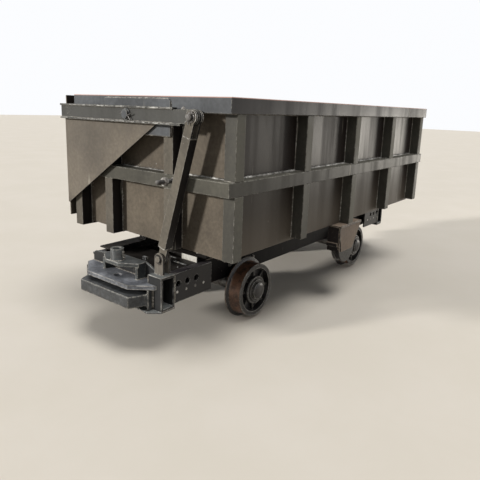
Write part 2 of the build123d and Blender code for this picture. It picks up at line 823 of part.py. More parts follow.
wing_top_z = pivot_z - arm_depth / 2
wing_low_z = wing_top_z - wing_depth
wing = plate_across([(door_out_y, wing_top_z), (door_out_y, wing_low_z), (door_in_y, wing_low_z),
                     (wing_right_y, wing_top_z)], (wing_x, web_x))
save("door_wings", *both_ends(wing))


# Links from the end beams to the door arms
def link():
    """A square tube with a fork over the arm's eye and a tongue in the clevis."""
    run = Vector(0, eye_y - clevis_y, pivot_z - clevis_z)
    half = link_size / 2
    core = half - link_wall
    length = run.length
    tilt = math.degrees(math.atan2(run.Y, run.Z))
    tube_low = link_tongue_length
    tube_high = length - link_fork_length
    tube = block((-half, half), (-half, half), (tube_low, tube_high))
    tube = tube - block((-core, core), (-core, core), (tube_low + link_wall, tube_high - link_wall))
    shapes = [tube]
    for side in (-1, 1):
        low, high = sorted((side * half, side * (half - link_fork_thick)))
        shapes.append(block((low, high), (-half, half), (tube_high, length)))
        shapes.append(rod_x(0, length, link_eye, (low, high)))
    shapes.append(block((-arm_web / 2, arm_web / 2), (-half, half), (0, tube_low)))
    shapes.append(rod_x(0, 0, link_eye, (-arm_web / 2, arm_web / 2)))
    shapes.append(rod_x(0, length, link_pin_dia, (-half - link_pin_head, half + link_pin_past)))
    bore = rod_x(0, 0, link_pin_dia + 2 * axle_fit, (-arm_web, arm_web))
    return Pos(link_mid_x, clevis_y, clevis_z) * Rot(-tilt, 0, 0) * (joined(shapes) - bore)


save("link_front", link())
save("link_rear", rear(link()))
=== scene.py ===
import math
import random

import bmesh
import bpy
from mathutils import Matrix, Vector


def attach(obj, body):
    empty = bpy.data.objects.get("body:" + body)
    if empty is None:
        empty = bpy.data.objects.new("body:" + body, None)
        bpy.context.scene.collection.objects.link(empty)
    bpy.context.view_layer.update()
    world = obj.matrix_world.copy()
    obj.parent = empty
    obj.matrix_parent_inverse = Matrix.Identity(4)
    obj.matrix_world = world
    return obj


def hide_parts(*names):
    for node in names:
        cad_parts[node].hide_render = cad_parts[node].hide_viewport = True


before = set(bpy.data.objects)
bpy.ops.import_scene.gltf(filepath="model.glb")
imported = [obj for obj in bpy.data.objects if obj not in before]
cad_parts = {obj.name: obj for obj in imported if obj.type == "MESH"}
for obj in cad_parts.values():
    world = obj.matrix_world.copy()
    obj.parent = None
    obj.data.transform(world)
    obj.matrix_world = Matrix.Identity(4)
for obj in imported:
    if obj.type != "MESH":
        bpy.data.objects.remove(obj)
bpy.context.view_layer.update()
MM = 0.001
COLLECTION = bpy.context.scene.collection
ENDS = (("front", 1), ("rear", -1))

# Camera, found from the photograph, which is taken to be 480 by 480 pixels
CAMERA_PLACE = Vector((2.831, 1.915, 1.211))
CAMERA_AZIMUTH = 127.83
CAMERA_ELEVATION = 12.28
CAMERA_ROLL = 1.94
CAMERA_LENS = 36.27
CAMERA_SENSOR = 36
PHOTO_SIZE = 480
PHOTO_AXIS_Y = 213.5

# The CAD's box: walls, posts, ribs, band, rim, hinges, studs and the lifting roller's bracket
WALL_X, POST_X, RIM_X = 1180.0, 1245.5, 1250.0
SIDE_WALL_Y, RIB_Y, SIDE_Y, WALL_EDGE_Y = 555.0, 620.5, 625.0, -530.0
WALL_LOW_Z, POST_LOW_Z, BAND_LOW_Z, BAND_TOP_Z = 511.0, 523.0, 826.5, 893.5
RIM_LOW_Z, RIM_TOP_Z = 1185.5, 1255.5
WALL_BAYS = ((POST_LOW_Z, BAND_LOW_Z), (BAND_TOP_Z, RIM_LOW_Z))
HALF_POST = 31.0
END_POSTS = (245.0, -212.0, -491.0)
SIDE_RIBS = (-1173.0, -586.5, 0.0, 586.5, 1173.0)
HINGE_PLACES, HINGE_Y, HINGE_Z = (-1010.0, -336.7, 336.7, 1010.0), -190.0, 488.5
STUD_Y, STUD_Z = 285.0, 868.0
BRACKET_X, BRACKET_LID_Z = (-156.0, 138.0), 503.0

# The CAD's door, its arms and its links. A link's and a hinge's pin have the same radius.
DOOR_OUT_Y, WING_MIDDLE_X = -553.0, 1268.0
DOOR_RAILS = ((575.0, 641.0), (BAND_LOW_Z, BAND_TOP_Z), (1184.5, 1250.5))
ARM_WEB_X, ARM_OUT_X, HALF_ARM, ARM_FLANGE = 1272.0, 1288.0, 40.0, 10.0
PIVOT_FACE_X, PIVOT_Z, PIVOT_RADIUS = 1258.0, 1165.5, 22.0
LINK_X, EYE_Y, CLEVIS = 1280.0, 445.0, (243.0, 486.0)
LINK_TONGUE, LINK_FORK = 62.0, 92.0
CLEVIS_IN, CLEVIS_OUT, HALF_CLEVIS = 15.0, 26.0, 29.0
PIN_RADIUS = 15.0

# The CAD's underframe, couplings and running gear
FRAME_TOP_Z, FRAME_Y = 408.0, 250.0
BEAM_BACK_X, BEAM_FACE_X, BEAM_LOW_Z = 1250.0, 1340.0, 236.0
DRAFT_Y, DRAFT_INNER_Y, RIVET_X, RIVET_PITCH, RIVET_Z = 296.0, 284.5, 1231.0, 64.0, 310.0
SHELF_X, SHELF_END_Y, SLOT_TOP_Z, TOP_PLATE_Z = 1297.0, 205.0, 344.0, 364.0
BRIDGE_LEG_Y, BRIDGE_LEG_X, BRIDGE_TOP_Z, GUIDE_X = (121.0, 137.0), 1349.0, 445.0, 1362.0
REST_PADS = (-945.0, -419.7, 419.7, 945.0)
AXLE_X, AXLE_Z = 660.0, 179.0


def make_camera():
    data = bpy.data.cameras.new("camera")
    camera = bpy.data.objects.new("camera", data)
    COLLECTION.objects.link(camera)
    azimuth, elevation, roll = (math.radians(v) for v in (CAMERA_AZIMUTH, CAMERA_ELEVATION, CAMERA_ROLL))
    back = Vector((math.sin(azimuth) * math.cos(elevation), -math.cos(azimuth) * math.cos(elevation),
                   math.sin(elevation)))
    right = Vector((math.cos(azimuth), math.sin(azimuth), 0))
    up = back.cross(right)
    rolled_right = right * math.cos(roll) + up * math.sin(roll)
    rolled_up = up * math.cos(roll) - right * math.sin(roll)
    camera.matrix_world = Matrix.Translation(CAMERA_PLACE) @ Matrix(
        (rolled_right, rolled_up, back)).transposed().to_4x4()
    data.sensor_fit = "HORIZONTAL"
    data.sensor_width = CAMERA_SENSOR
    data.lens = CAMERA_LENS
    data.shift_y = (PHOTO_AXIS_Y - PHOTO_SIZE / 2) / PHOTO_SIZE
    bpy.context.scene.camera = camera


# Materials
class Nodes:
    """Builds a shader: each call adds a node and returns its output."""

    def __init__(self, name):
        self.material = bpy.data.materials.new(name)
        self.material.use_nodes = True
        self.tree = self.material.node_tree
        self.shader = self.tree.nodes["Principled BSDF"]
        coordinates = self.tree.nodes.new("ShaderNodeTexCoord")
        self.place = coordinates.outputs["Object"]
        self.facing = coordinates.outputs["Normal"]

    def link(self, value, socket):
        if isinstance(value, bpy.types.NodeSocket):
            self.tree.links.new(value, socket)
        else:
            socket.default_value = value

    def noise(self, scale, detail=3.0, rough=0.55, stretch=(1, 1, 1), turn=(0, 0, 0), shift=(0, 0, 0)):
        mapping = self.tree.nodes.new("ShaderNodeMapping")
        angle = [math.radians(v) for v in turn]
        for name, value in (("Scale", stretch), ("Location", shift), ("Rotation", angle)):
            mapping.inputs[name].default_value = value
        self.link(self.place, mapping.inputs["Vector"])
        node = self.tree.nodes.new("ShaderNodeTexNoise")
        for name, value in (("Scale", scale), ("Detail", detail), ("Roughness", rough)):
            node.inputs[name].default_value = value
        self.link(mapping.outputs["Vector"], node.inputs["Vector"])
        return node.outputs["Fac"]

    def ramp(self, value, low, high, start=0.0, end=1.0):
        node = self.tree.nodes.new("ShaderNodeMapRange")
        node.interpolation_type = "SMOOTHSTEP"
        for name, number in (("From Min", low), ("From Max", high), ("To Min", start), ("To Max", end)):
            node.inputs[name].default_value = number
        self.link(value, node.inputs["Value"])
        return node.outputs["Result"]

    def math(self, operation, first, second=0.0, clamp=True):
        node = self.tree.nodes.new("ShaderNodeMath")
        node.operation = operation
        node.use_clamp = clamp and operation in ("ADD", "SUBTRACT", "MULTIPLY")
        self.link(first, node.inputs[0])
        self.link(second, node.inputs[1])
        return node.outputs[0]

    def fold(self, operation, values):
        total = values[0]
        for value in values[1:]:
            total = self.math(operation, total, value)
        return total

    def times(self, *values):
        return self.fold("MULTIPLY", values)

    def plus(self, *values):
        return self.fold("ADD", values)

    def mix(self, amount, first, second):
        node = self.tree.nodes.new("ShaderNodeMix")
        node.data_type = "RGBA"
        self.link(amount, node.inputs["Factor"])
        self.link(first, node.inputs["A"])
        self.link(second, node.inputs["B"])
        return node.outputs["Result"]

    def squared(self, value, middle):
        """The square of a value's distance from a middle."""
        off = self.math("SUBTRACT", value, middle, clamp=False)
        return self.math("MULTIPLY", off, off, clamp=False)

    def split(self, vector):
        node = self.tree.nodes.new("ShaderNodeSeparateXYZ")
        self.link(vector, node.inputs[0])
        return node.outputs

    def facing_mask(self, end, side, up):
        """Weights for faces along X, along Y and looking up."""
        x, y, z = self.split(self.facing)
        ends = self.times(self.ramp(self.math("ABSOLUTE", x), 0.5, 0.9), end)
        sides = self.times(self.ramp(self.math("ABSOLUTE", y), 0.5, 0.9), side)
        tops = self.times(self.ramp(z, 0.4, 0.9), up)
        return self.plus(ends, sides, tops)

    def edges(self, radius, low=0.01, high=0.12):
        """1 on sharp edges and 0 on flat faces."""
        bevel = self.tree.nodes.new("ShaderNodeBevel")
        bevel.samples = 4
        bevel.inputs["Radius"].default_value = radius
        normal = self.tree.nodes.new("ShaderNodeNewGeometry").outputs["True Normal"]
        dot = self.tree.nodes.new("ShaderNodeVectorMath")
        dot.operation = "DOT_PRODUCT"
        self.link(bevel.outputs["Normal"], dot.inputs[0])
        self.link(normal, dot.inputs[1])
        return self.ramp(self.math("SUBTRACT", 1.0, dot.outputs["Value"]), low, high)

    def bump(self, height, distance, strength=0.3, normal=None):
        node = self.tree.nodes.new("ShaderNodeBump")
        node.inputs["Strength"].default_value = strength
        node.inputs["Distance"].default_value = distance
        self.link(height, node.inputs["Height"])
        if normal is not None:
            self.link(normal, node.inputs["Normal"])
        return node.outputs["Normal"]

    def finish(self, color, rough, metal=0.0, normal=None, specular=0.5):
        self.link(color, self.shader.inputs["Base Color"])
        self.link(rough, self.shader.inputs["Roughness"])
        self.link(metal, self.shader.inputs["Metallic"])
        self.shader.inputs["Specular IOR Level"].default_value = specular
        if normal is not None:
            self.link(normal, self.shader.inputs["Normal"])
        return self.material


def rgb(red, green, blue):
    """A colour as it is seen, from 0 to 255 each, as the shader's linear values."""
    channels = [v / 255 for v in (red, green, blue)]
    linear = [v / 12.92 if v <= 0.04045 else ((v + 0.055) / 1.055) ** 2.4 for v in channels]
    return (*linear, 1.0)


RUST = rgb(96, 62, 44)
CHALK = rgb(176, 172, 160)
WEAR = rgb(190, 187, 178)
PRIMER_EDGE, PRIMER_DEPTH = (14.0, 7.0), (5.0, 2.5)
SPLASH_HEIGHT = (0.45, 0.95)
TREAD_RADIUS = (0.138, 0.144)


def rim_strip(n):
    """1 on the outer edge of the rim's top face and 0 elsewhere."""
    x, y, z = n.split(n.place)
    outer = n.plus(*(n.ramp(n.math("ABSOLUTE", value), *((reach - step) * MM for step in PRIMER_EDGE))
                     for value, reach in ((x, RIM_X), (y, SIDE_Y))))
    return n.times(n.ramp(z, *((RIM_TOP_Z - step) * MM for step in PRIMER_DEPTH)), outer)


def paint(name, base, dust_and_light, facing, wear=WEAR, rough=0.3, edge=0.003, scratches=0.5, primer=None,
          shine=0.28, splash=0.0, streak=0.08):
    """Semi-gloss black paint under a cloudy lighter colour, with streaks, scratches, rust specks and worn
    edges.
    facing is how much of the lighter colour lies on faces along X, along Y and looking up: it is dirt, and
    where faces along X get more than faces along Y it is also painted light, the ends lit and the sides in
    shade.
    splash is the dirt on the foot of faces along Y."""
    n = Nodes(name)
    cloud = n.ramp(n.noise(2.6, 5, 0.62), 0.32, 0.7, 0.62, 1.2)
    fine = n.ramp(n.noise(55, 4, 0.65), 0.35, 0.7, 0.82, 1.08)
    # Painted light with the dirt: the facing weights make faces along X lighter than faces along Y, as if
    # lit.
    dust_and_light_cover = n.times(n.facing_mask(*facing), cloud, fine)
    streaks = n.ramp(n.noise(13, 5, 0.62, stretch=(1, 1, 0.13)), 0.5, 0.78)
    dust_and_light_cover = n.plus(dust_and_light_cover, n.times(streaks, streak))
    if splash:
        low = n.ramp(n.split(n.place)[2], *SPLASH_HEIGHT, splash, 0.0)
        dust_and_light_cover = n.plus(dust_and_light_cover, n.times(low, n.facing_mask(0.0, 1.0, 0.0)))
    color = n.mix(dust_and_light_cover, base, dust_and_light)
    patch = n.ramp(n.noise(3.1, 2, 0.5, shift=(4, 1, 7)), 0.5, 0.62)
    for turn, shift in (((58, 20, 0), (1, 2, 3)), ((-35, -48, 0), (7, 3, 1))):
        lines = n.ramp(n.noise(34, 3, 0.5, stretch=(1, 1, 0.045), turn=turn, shift=shift), 0.67, 0.73)
        color = n.mix(n.times(lines, patch, scratches), color, CHALK)
    rubs = n.ramp(n.noise(21, 6, 0.72, shift=(2, 5, 3)), 0.67, 0.75)
    color = n.mix(n.times(rubs, 0.30), color, CHALK)
    specks = n.ramp(n.noise(95, 3, 0.6, shift=(9, 9, 2)), 0.69, 0.75)
    color = n.mix(n.times(specks, 0.30), color, RUST)
    worn = n.edges(edge)
    chips = n.ramp(n.noise(48, 5, 0.7), 0.40, 0.62)
    color = n.mix(n.times(worn, chips, 0.85), color, wear)
    if primer is not None:
        color = n.mix(n.times(rim_strip(n), 0.85), color, primer)
    runs = n.ramp(n.noise(9, 4, 0.6, stretch=(1, 1, 0.06), shift=(6, 2, 0)), 0.42, 0.66)
    roughness = n.plus(rough, n.times(dust_and_light_cover, 0.42), n.times(fine, 0.06), n.times(runs, 0.14))
    waves = n.bump(n.noise(3.5, 2, 0.5), 0.004, 0.35)
    grain = n.bump(n.noise(380, 3, 0.6), 0.0005, 0.30, waves)
    return n.finish(color, roughness, normal=grain, specular=shine)


def casting(name, base, pale, dark, rust_amount=0.25, rough=0.55, grit=0.0016, edge=0.006, tread=None):
    """Rough cast iron: pitted, dusty on top, with a little rust and pale rubbed edges. tread is the
    colour of a wheel's running surface."""
    n = Nodes(name)
    broad = n.ramp(n.noise(9, 5, 0.65), 0.35, 0.68)
    pits = n.ramp(n.noise(70, 5, 0.7), 0.38, 0.62)
    color = n.mix(broad, base, pale)
    color = n.mix(n.times(n.math("SUBTRACT", 1.0, pits), 0.55), color, dark)
    color = n.mix(n.times(n.facing_mask(0.0, 0.0, 0.5), broad), color, pale)
    rusty = n.ramp(n.noise(24, 6, 0.7, shift=(3, 8, 1)), 0.56, 0.7)
    color = n.mix(n.times(rusty, rust_amount), color, RUST)
    if tread is not None:
        flat = n.ramp(n.math("ABSOLUTE", n.split(n.facing)[1]), 0.35, 0.7)
        x, _, z = n.split(n.place)
        out = n.plus(n.squared(n.math("ABSOLUTE", x), AXLE_X * MM), n.squared(z, AXLE_Z * MM))
        worn_tread = n.times(n.math("SUBTRACT", 1.0, flat), n.ramp(out, *(r ** 2 for r in TREAD_RADIUS)))
        worn_tread = n.times(worn_tread, n.ramp(n.noise(22, 5, 0.7), 0.36, 0.6, 0.25, 1.0))
        color = n.mix(worn_tread, color, tread)
    chips = n.ramp(n.noise(60, 4, 0.7), 0.35, 0.6)
    color = n.mix(n.times(n.edges(edge), chips, 0.8), color, CHALK)
    lumps = n.bump(n.noise(46, 6, 0.7), grit, 0.55)
    grain = n.bump(n.noise(300, 4, 0.65), 0.0006, 0.45, lumps)
    return n.finish(color, n.ramp(broad, 0, 1, rough, rough + 0.2), metal=0.15, normal=grain)


def steel(name, base, dark, rough=0.35, metal=0.6, rust_amount=0.2):
    """Bare or oily steel with fine marks, darker dirt and a little rust."""
    n = Nodes(name)
    dirt = n.ramp(n.noise(18, 5, 0.65), 0.38, 0.66)
    marks = n.ramp(n.noise(140, 3, 0.6), 0.35, 0.7)
    color = n.mix(dirt, base, dark)
    color = n.mix(n.times(marks, 0.3), color, dark)
    rusty = n.ramp(n.noise(36, 6, 0.7, shift=(5, 1, 2)), 0.55, 0.7)
    color = n.mix(n.times(rusty, rust_amount), color, RUST)
    normal = n.bump(marks, 0.0004, 0.4)
    return n.finish(color, n.ramp(dirt, 0, 1, rough, rough + 0.3), metal=metal, normal=normal)


def weld_metal(name, base, pale, dark, spot=85):
    """A weld bead under thin paint: uneven, with bright crests that are rubbed metal and painted highlight.
    """
    n = Nodes(name)
    spots = n.ramp(n.noise(spot, 5, 0.7), 0.35, 0.68)
    broad = n.ramp(n.noise(12, 3, 0.6), 0.4, 0.65)
    color = n.mix(spots, dark, base)
    # Painted highlight with wear: the pale colour on the crests of the bead.
    color = n.mix(n.times(broad, spots), color, pale)
    normal = n.bump(n.noise(260, 4, 0.6), 0.0007, 0.5)
    return n.finish(color, 0.42, metal=0.1, normal=normal)


def make_materials():
    """One material for each kind of surface on the cart."""
    body_base, stiff_base, shaded_frame_base = rgb(32, 27, 25), rgb(26, 24, 25), rgb(20, 19, 21)
    # Each paint's base is followed by its lighter colour and its weights on faces along X, along Y and
    # looking up. Where faces along X get far more than faces along Y, that is painted light on the lit ends
    # and painted shade on the sides; the bracket's ends get little of it as painted shade.
    return {
        "body": paint("body_paint", body_base, rgb(121, 112, 99), (0.84, 0.03, 0.55), shine=0.16, splash=0.36,
                      streak=0.05),
        "post": paint("post_paint", stiff_base, rgb(118, 112, 101), (0.80, 0.02, 0.8), edge=0.005,
                      scratches=0.8, shine=0.2),
        "rib": paint("rib_paint", stiff_base, rgb(100, 98, 88), (0.5, 0.78, 0.8), edge=0.005, scratches=0.8),
        "band": paint("band_paint", stiff_base, rgb(99, 97, 88), (0.80, 0.38, 0.9), edge=0.006,
                      scratches=0.8, shine=0.18),
        "wing": paint("wing_paint", body_base, rgb(126, 118, 106), (0.82, 0.15, 0.6)),
        # The rim's lighter colour is bluish grey: dirt, and a painted reflection of the sky.
        "rim": paint("rim_paint", rgb(30, 27, 28), rgb(108, 111, 114), (0.80, 0.02, 0.6), edge=0.006,
                     primer=rgb(196, 158, 146), shine=0.14),
        "arm": paint("arm_paint", rgb(28, 27, 28), rgb(90, 90, 86), (0.68, 0.02, 0.9), edge=0.005,
                     scratches=0.8),
        "bracket": paint("bracket_paint", rgb(26, 22, 24), rgb(128, 113, 99), (0.03, 0.72, 1.0), edge=0.005,
                         scratches=0.8),
        # Painted shade: the underframe's paints are darker than the hopper's and take little of the lighter
        # colour, standing for the shade under the cart.
        "frame": paint("frame_paint", rgb(14, 13, 14), rgb(78, 73, 68), (0.2, 0.0, 0.4),
                       wear=rgb(140, 138, 134), rough=0.34, shine=0.07, streak=0.03),
        "draft": paint("draft_paint", shaded_frame_base, rgb(82, 78, 80), (0.2, 0.02, 0.7),
                       wear=rgb(186, 186, 182), rough=0.26, edge=0.006, scratches=0.9),
        "end_beam": paint("end_beam_paint", shaded_frame_base, rgb(104, 107, 106), (0.10, 0.03, 0.9),
                          wear=rgb(196, 197, 194), rough=0.32, edge=0.007, scratches=0.9),
        "clevis": paint("clevis_paint", stiff_base, rgb(118, 112, 103), (0.85, 0.05, 0.9), edge=0.004),
        "buffer": casting("cast_grey", rgb(50, 52, 54), rgb(78, 80, 81), rgb(24, 25, 27), rust_amount=0.10,
                          rough=0.46, edge=0.010),
        "top_plate": casting("cast_blue_grey", rgb(94, 97, 103), rgb(138, 141, 147), rgb(46, 47, 51),
                             rust_amount=0.08, rough=0.42, grit=0.0008, edge=0.007),
        "bridge": casting("cast_bridge", rgb(60, 63, 64), rgb(98, 102, 103), rgb(34, 35, 36),
                          rust_amount=0.08, rough=0.38, grit=0.0008, edge=0.007),
        "wheel": casting("cast_wheel", rgb(34, 32, 33), rgb(58, 56, 56), rgb(13, 12, 12),
                         rust_amount=0.12, rough=0.32, grit=0.0008, edge=0.0055, tread=rgb(132, 98, 78)),
        "roller": casting("cast_roller", rgb(19, 18, 20), rgb(38, 36, 37), rgb(9, 9, 9),
                          rust_amount=0.12, rough=0.26, grit=0.0008, edge=0.004),
        "steel": steel("bare_steel", rgb(128, 126, 123), rgb(54, 51, 49)),
        # Bright edges: rubbed metal, and painted highlights where edges catch light.
        "edge": weld_metal("rubbed_edge_highlight", rgb(158, 157, 152), rgb(208, 207, 202), rgb(74, 71, 68), spot=34),
        "bright": steel("rubbed_steel", rgb(205, 203, 198), rgb(112, 108, 103), rough=0.4, metal=0.3,
                        rust_amount=0.08),
        "weld": weld_metal("weld_pale", rgb(126, 120, 110), rgb(188, 186, 178), rgb(62, 57, 52)),
        # Weld metal brighter still: a painted highlight on lit beads, with wear.
        "seam": weld_metal("weld_bright_highlight", rgb(158, 156, 150), rgb(214, 213, 208), rgb(66, 62, 58), spot=24),
        "weld_dark": weld_metal("weld_brown", rgb(96, 84, 72), rgb(140, 128, 112), rgb(48, 42, 38)),
        "plate": steel("blank_plate", rgb(226, 224, 216), rgb(196, 192, 182), rough=0.5, metal=0.1,
                       rust_amount=0.05),
    }


WHEELS = ("wheel_front_roller_side", "wheel_front_door_side", "wheel_rear_roller_side",
          "wheel_rear_door_side")
ROUGH_CASTINGS = ("buffer_front", "buffer_rear")

# The finish of the CAD's nodes, where it isn't the body's
NODE_FINISH = {
    "frame": ("sill_roller_side", "sill_door_side", "cross_members", "axle_brackets", "hinge_rail",
              "rest_pads"),
    "draft": ("draft_plates",),
    "end_beam": ("end_beam_front", "end_beam_rear"),
    "clevis": ("link_clevises",),
    "buffer": ROUGH_CASTINGS,
    "top_plate": ("buffer_top_plates",),
    "bridge": ("coupling_bridges",),
    "roller": ("dump_roller",),
    "wheel": WHEELS,
    "steel": ("axle_front", "axle_rear", "stop_studs"),
    "rim": ("rim_frame", "pivot_plates"),
    "arm": ("door_arm_front", "door_arm_rear"),
    "wing": ("door_wings",),
    "post": ("end_posts", "link_front", "link_rear"),
    "rib": ("side_ribs", "door_ribs"),
    "band": ("mid_band", "door_rails"),
    "bracket": ("roller_bracket",),
}

# How wide the edges of the CAD's nodes are rounded, in millimetres, where it isn't the usual width
ROUNDED_NODES = {
    6.0: ROUGH_CASTINGS,
    3.0: ("buffer_top_plates", "coupling_bridges", "rim_frame", "mid_band", "door_rails"),
    2.5: ("side_ribs", "end_posts", "door_ribs"),
    2.0: WHEELS,
}
USUAL_ROUND = 1.5
# Corners nearer than this, in metres, are one. Faces bent by less than the first angle, in
# degrees, are flat, and edges bent by more than the second are rounded.
JOIN_DISTANCE, FLAT_ANGLE, ROUNDED_ANGLE = 0.00001, 0.5, 40
# The skin of a sand casting, in metres
SKIN_STEP, LUMP_SIZE, LUMP_DEPTH = 0.004, 0.03, 0.004


def by_node(groups):
    """From nodes listed under a value to each node's value."""
    return {node: value for value, nodes in groups.items() for node in nodes}


def round_edges(node, width):
    """Real rounded edges on a CAD node, made by modifiers, so its own mesh stays as it is."""
    weld = node.modifiers.new("join", "WELD")
    weld.merge_threshold = JOIN_DISTANCE
    flat = node.modifiers.new("flat_faces", "DECIMATE")
    flat.decimate_type = "DISSOLVE"
    flat.angle_limit = math.radians(FLAT_ANGLE)
    bevel = node.modifiers.new("rounded", "BEVEL")
    bevel.width = width * MM
    bevel.segments = 2
    bevel.limit_method = "ANGLE"
    bevel.angle_limit = math.radians(ROUNDED_ANGLE)


def roughen(node):
    """The uneven skin of a sand casting, cut in from the true surface and never out of it."""
    remesh = node.modifiers.new("cast_skin", "REMESH")
    remesh.mode = "VOXEL"
    remesh.voxel_size = SKIN_STEP
    remesh.use_smooth_shade = True
    clouds = bpy.data.textures.new("cast_clouds", "CLOUDS")
    clouds.noise_scale = LUMP_SIZE
    clouds.noise_depth = 4
    skin = node.modifiers.new("cast_lumps", "DISPLACE")
    skin.texture = clouds
    skin.strength = LUMP_DEPTH
    skin.mid_level = 1.0


def dress_nodes():
    finish_of, round_of = by_node(NODE_FINISH), by_node(ROUNDED_NODES)
    for name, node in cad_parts.items():
        node.data.materials.clear()
        node.data.materials.append(MATERIALS[finish_of.get(name, "body")])
        round_edges(node, round_of.get(name, USUAL_ROUND))
        if name in ROUGH_CASTINGS:
            roughen(node)


# Pieces. Edges that turn by more than these angles, in degrees, are shaded sharp.
USUAL_SHARP, THREAD_SHARP, WELD_SHARP = 35, 50, 60
THIN_BEAD, SMALL_BEAD, USUAL_BEAD, WIDE_BEAD = 6, 7, 8, 9
DRAW = random.Random(7)


def make_piece(name, body, finish, shape, sharp=USUAL_SHARP, bevel=0.0):
    """Turns a bmesh in millimetres into a piece in metres that rides on a CAD body."""
    shape.transform(Matrix.Scale(MM, 4))
    bmesh.ops.recalc_face_normals(shape, faces=shape.faces)
    mesh = bpy.data.meshes.new(name)
    shape.to_mesh(mesh)
    shape.free()
    mesh.shade_smooth()
    mesh.set_sharp_from_angle(angle=math.radians(sharp))
    mesh.materials.append(MATERIALS[finish])
    piece = bpy.data.objects.new(name, mesh)
    COLLECTION.objects.link(piece)
    if bevel:
        rounded = piece.modifiers.new("rounded", "BEVEL")
        rounded.width = bevel * MM
        rounded.segments = 2
        rounded.limit_method = "ANGLE"
    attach(piece, body)
    return piece


def make_weld(name, body, shape, finish="weld"):
    """A piece of beads, drops or rubbed edges."""
    make_piece(name, body, finish, shape, WELD_SHARP)


def across(axis):
    """An axis and two directions across it."""
    axis = Vector(axis).normalized()
    side = axis.orthogonal().normalized()
    return axis, side, axis.cross(side)


def angles(count, closed=False):
    """Angles at even steps round a turn, with a full turn as the last one if it is closed."""
    return [math.tau * i / count for i in range(count + 1 if closed else count)]


def at_end(sign, *points):
    """Points that are given for the front end, mirrored to the rear end where sign is minus 1."""
    return [(sign * x, y, z) for x, y, z in points]


def skin(shape, loops, closed=False):
    """Skins a run of loops of as many points each, capped at its ends unless it is closed."""
    rows = [[shape.verts.new(point) for point in loop] for loop in loops]
    count = len(rows[0])
    pairs = list(zip(rows, rows[1:]))
    if closed:
        pairs.append((rows[-1], rows[0]))
    for low, high in pairs:
        for i in range(count):
            j = (i + 1) % count
            shape.faces.new((low[i], low[j], high[j], high[i]))
    if not closed:
        shape.faces.new(list(reversed(rows[0])))
        shape.faces.new(rows[-1])


def turned(shape, place, axis, profile, sides=28, turn=0.0):
    """A solid turned about an axis, from pairs of radius and distance along it."""
    axis, u, v = across(axis)
    place = Vector(place)
    loops = []
    for radius, along in profile:
        loops.append([place + axis * along + (u * math.cos(turn + a) + v * math.sin(turn + a)) * radius
                      for a in angles(sides)])
    skin(shape, loops)


def hexagon(shape, place, axis, flats, height, turn=0.0, chamfered_foot=False):
    """A bolt head or a nut: a hexagon whose corners are turned off in a chamfer."""
    axis, u, v = across(axis)
    place = Vector(place)
    side, half_side = math.radians(60), math.radians(30)
    half = flats / 2
    corner = half / math.cos(half_side)
    foot = corner * 0.96 if chamfered_foot else corner
    loops = []
    for along, limit in ((0, foot), (0.1 * height, corner), (0.82 * height, corner), (height, half)):
        loop = []
        for a in angles(24):
            radius = min(half / math.cos((a % side) - half_side), limit)
            loop.append(place + axis * along + (u * math.cos(a + turn) + v * math.sin(a + turn)) * radius)
        loops.append(loop)
    skin(shape, loops)


def bolt_head(shape, place, axis, size, turn=0.0):
    """A hexagon head on its washer, for a thread of the given size."""
    place, axis = Vector(place), Vector(axis)
    washer, reach, sunk = 0.18 * size, 1.02 * size, 0.5
    profile = [(reach, 0), (reach, washer + 0.3), (size * 0.97, washer + sunk)]
    turned(shape, place - axis * sunk, axis, profile)
    hexagon(shape, place + axis * washer, axis, size * 1.6, size * 0.65, turn)


def threaded(shape, place, axis, radius, length, pitch):
    """A rod with a screw thread and a rounded end."""
    axis, u, v = across(axis)
    place = Vector(place)
    steps, sides = int(length / pitch * 4), 20
    depth = 0.55 * pitch
    loops = []
    for step in range(steps + 1):
        along = length * step / steps
        end = min(1.0, 0.80 + (length - along) / radius * 0.6)
        loop = []
        for i, a in enumerate(angles(sides)):
            phase = (along / pitch - i / sides) % 1.0
            reach = (radius - depth * abs(phase - 0.5) * 2) * end
            loop.append(place + axis * along + (u * math.cos(a) + v * math.sin(a)) * reach)
        loops.append(loop)
    skin(shape, loops)


def wire(shape, points, radius, sides=8, closed=False):
    """A round wire bent along points."""
    points = [Vector(point) for point in points]
    loops = []
    side = None
    for i, point in enumerate(points):
        before = points[i - 1] if i or closed else points[0]
        after = points[(i + 1) % len(points)] if i + 1 < len(points) or closed else points[-1]
        axis = (after - before).normalized()
        side = axis.orthogonal() if side is None else side - axis * side.dot(axis)
        side.normalize()
        other = axis.cross(side)
        loops.append([point + (side * math.cos(a) + other * math.sin(a)) * radius for a in angles(sides)])
    skin(shape, loops, closed)


def cotter(shape, place, run, pin_radius, wire_radius, leg, spread):
    """A split pin through a round pin along X, its two legs spread on the side of run."""
    axis, run, place = Vector((1, 0, 0)), Vector(run).normalized(), Vector(place)
    lift = axis.cross(run)
    eye = pin_radius + wire_radius * 3.2
    ring = [place - run * (eye + math.cos(a) * wire_radius * 2.4) + lift * math.sin(a) * wire_radius * 2.4
            for a in angles(14)]
    wire(shape, ring, wire_radius * 0.9, closed=True)
    for side, angle in zip((-1, 1), spread):
        off = lift * side * wire_radius * 0.85
        out = pin_radius + wire_radius
        points = [place - run * (pin_radius + wire_radius * 1.5) + off, place + off, place + run * out + off]
        for k in range(1, 5):
            bend = math.radians(angle) * min(1.0, k / 2)
            points.append(points[-1] + (run * math.cos(bend) + lift * side * math.sin(bend)) * leg / 4)
        wire(shape, points, wire_radius, 7)


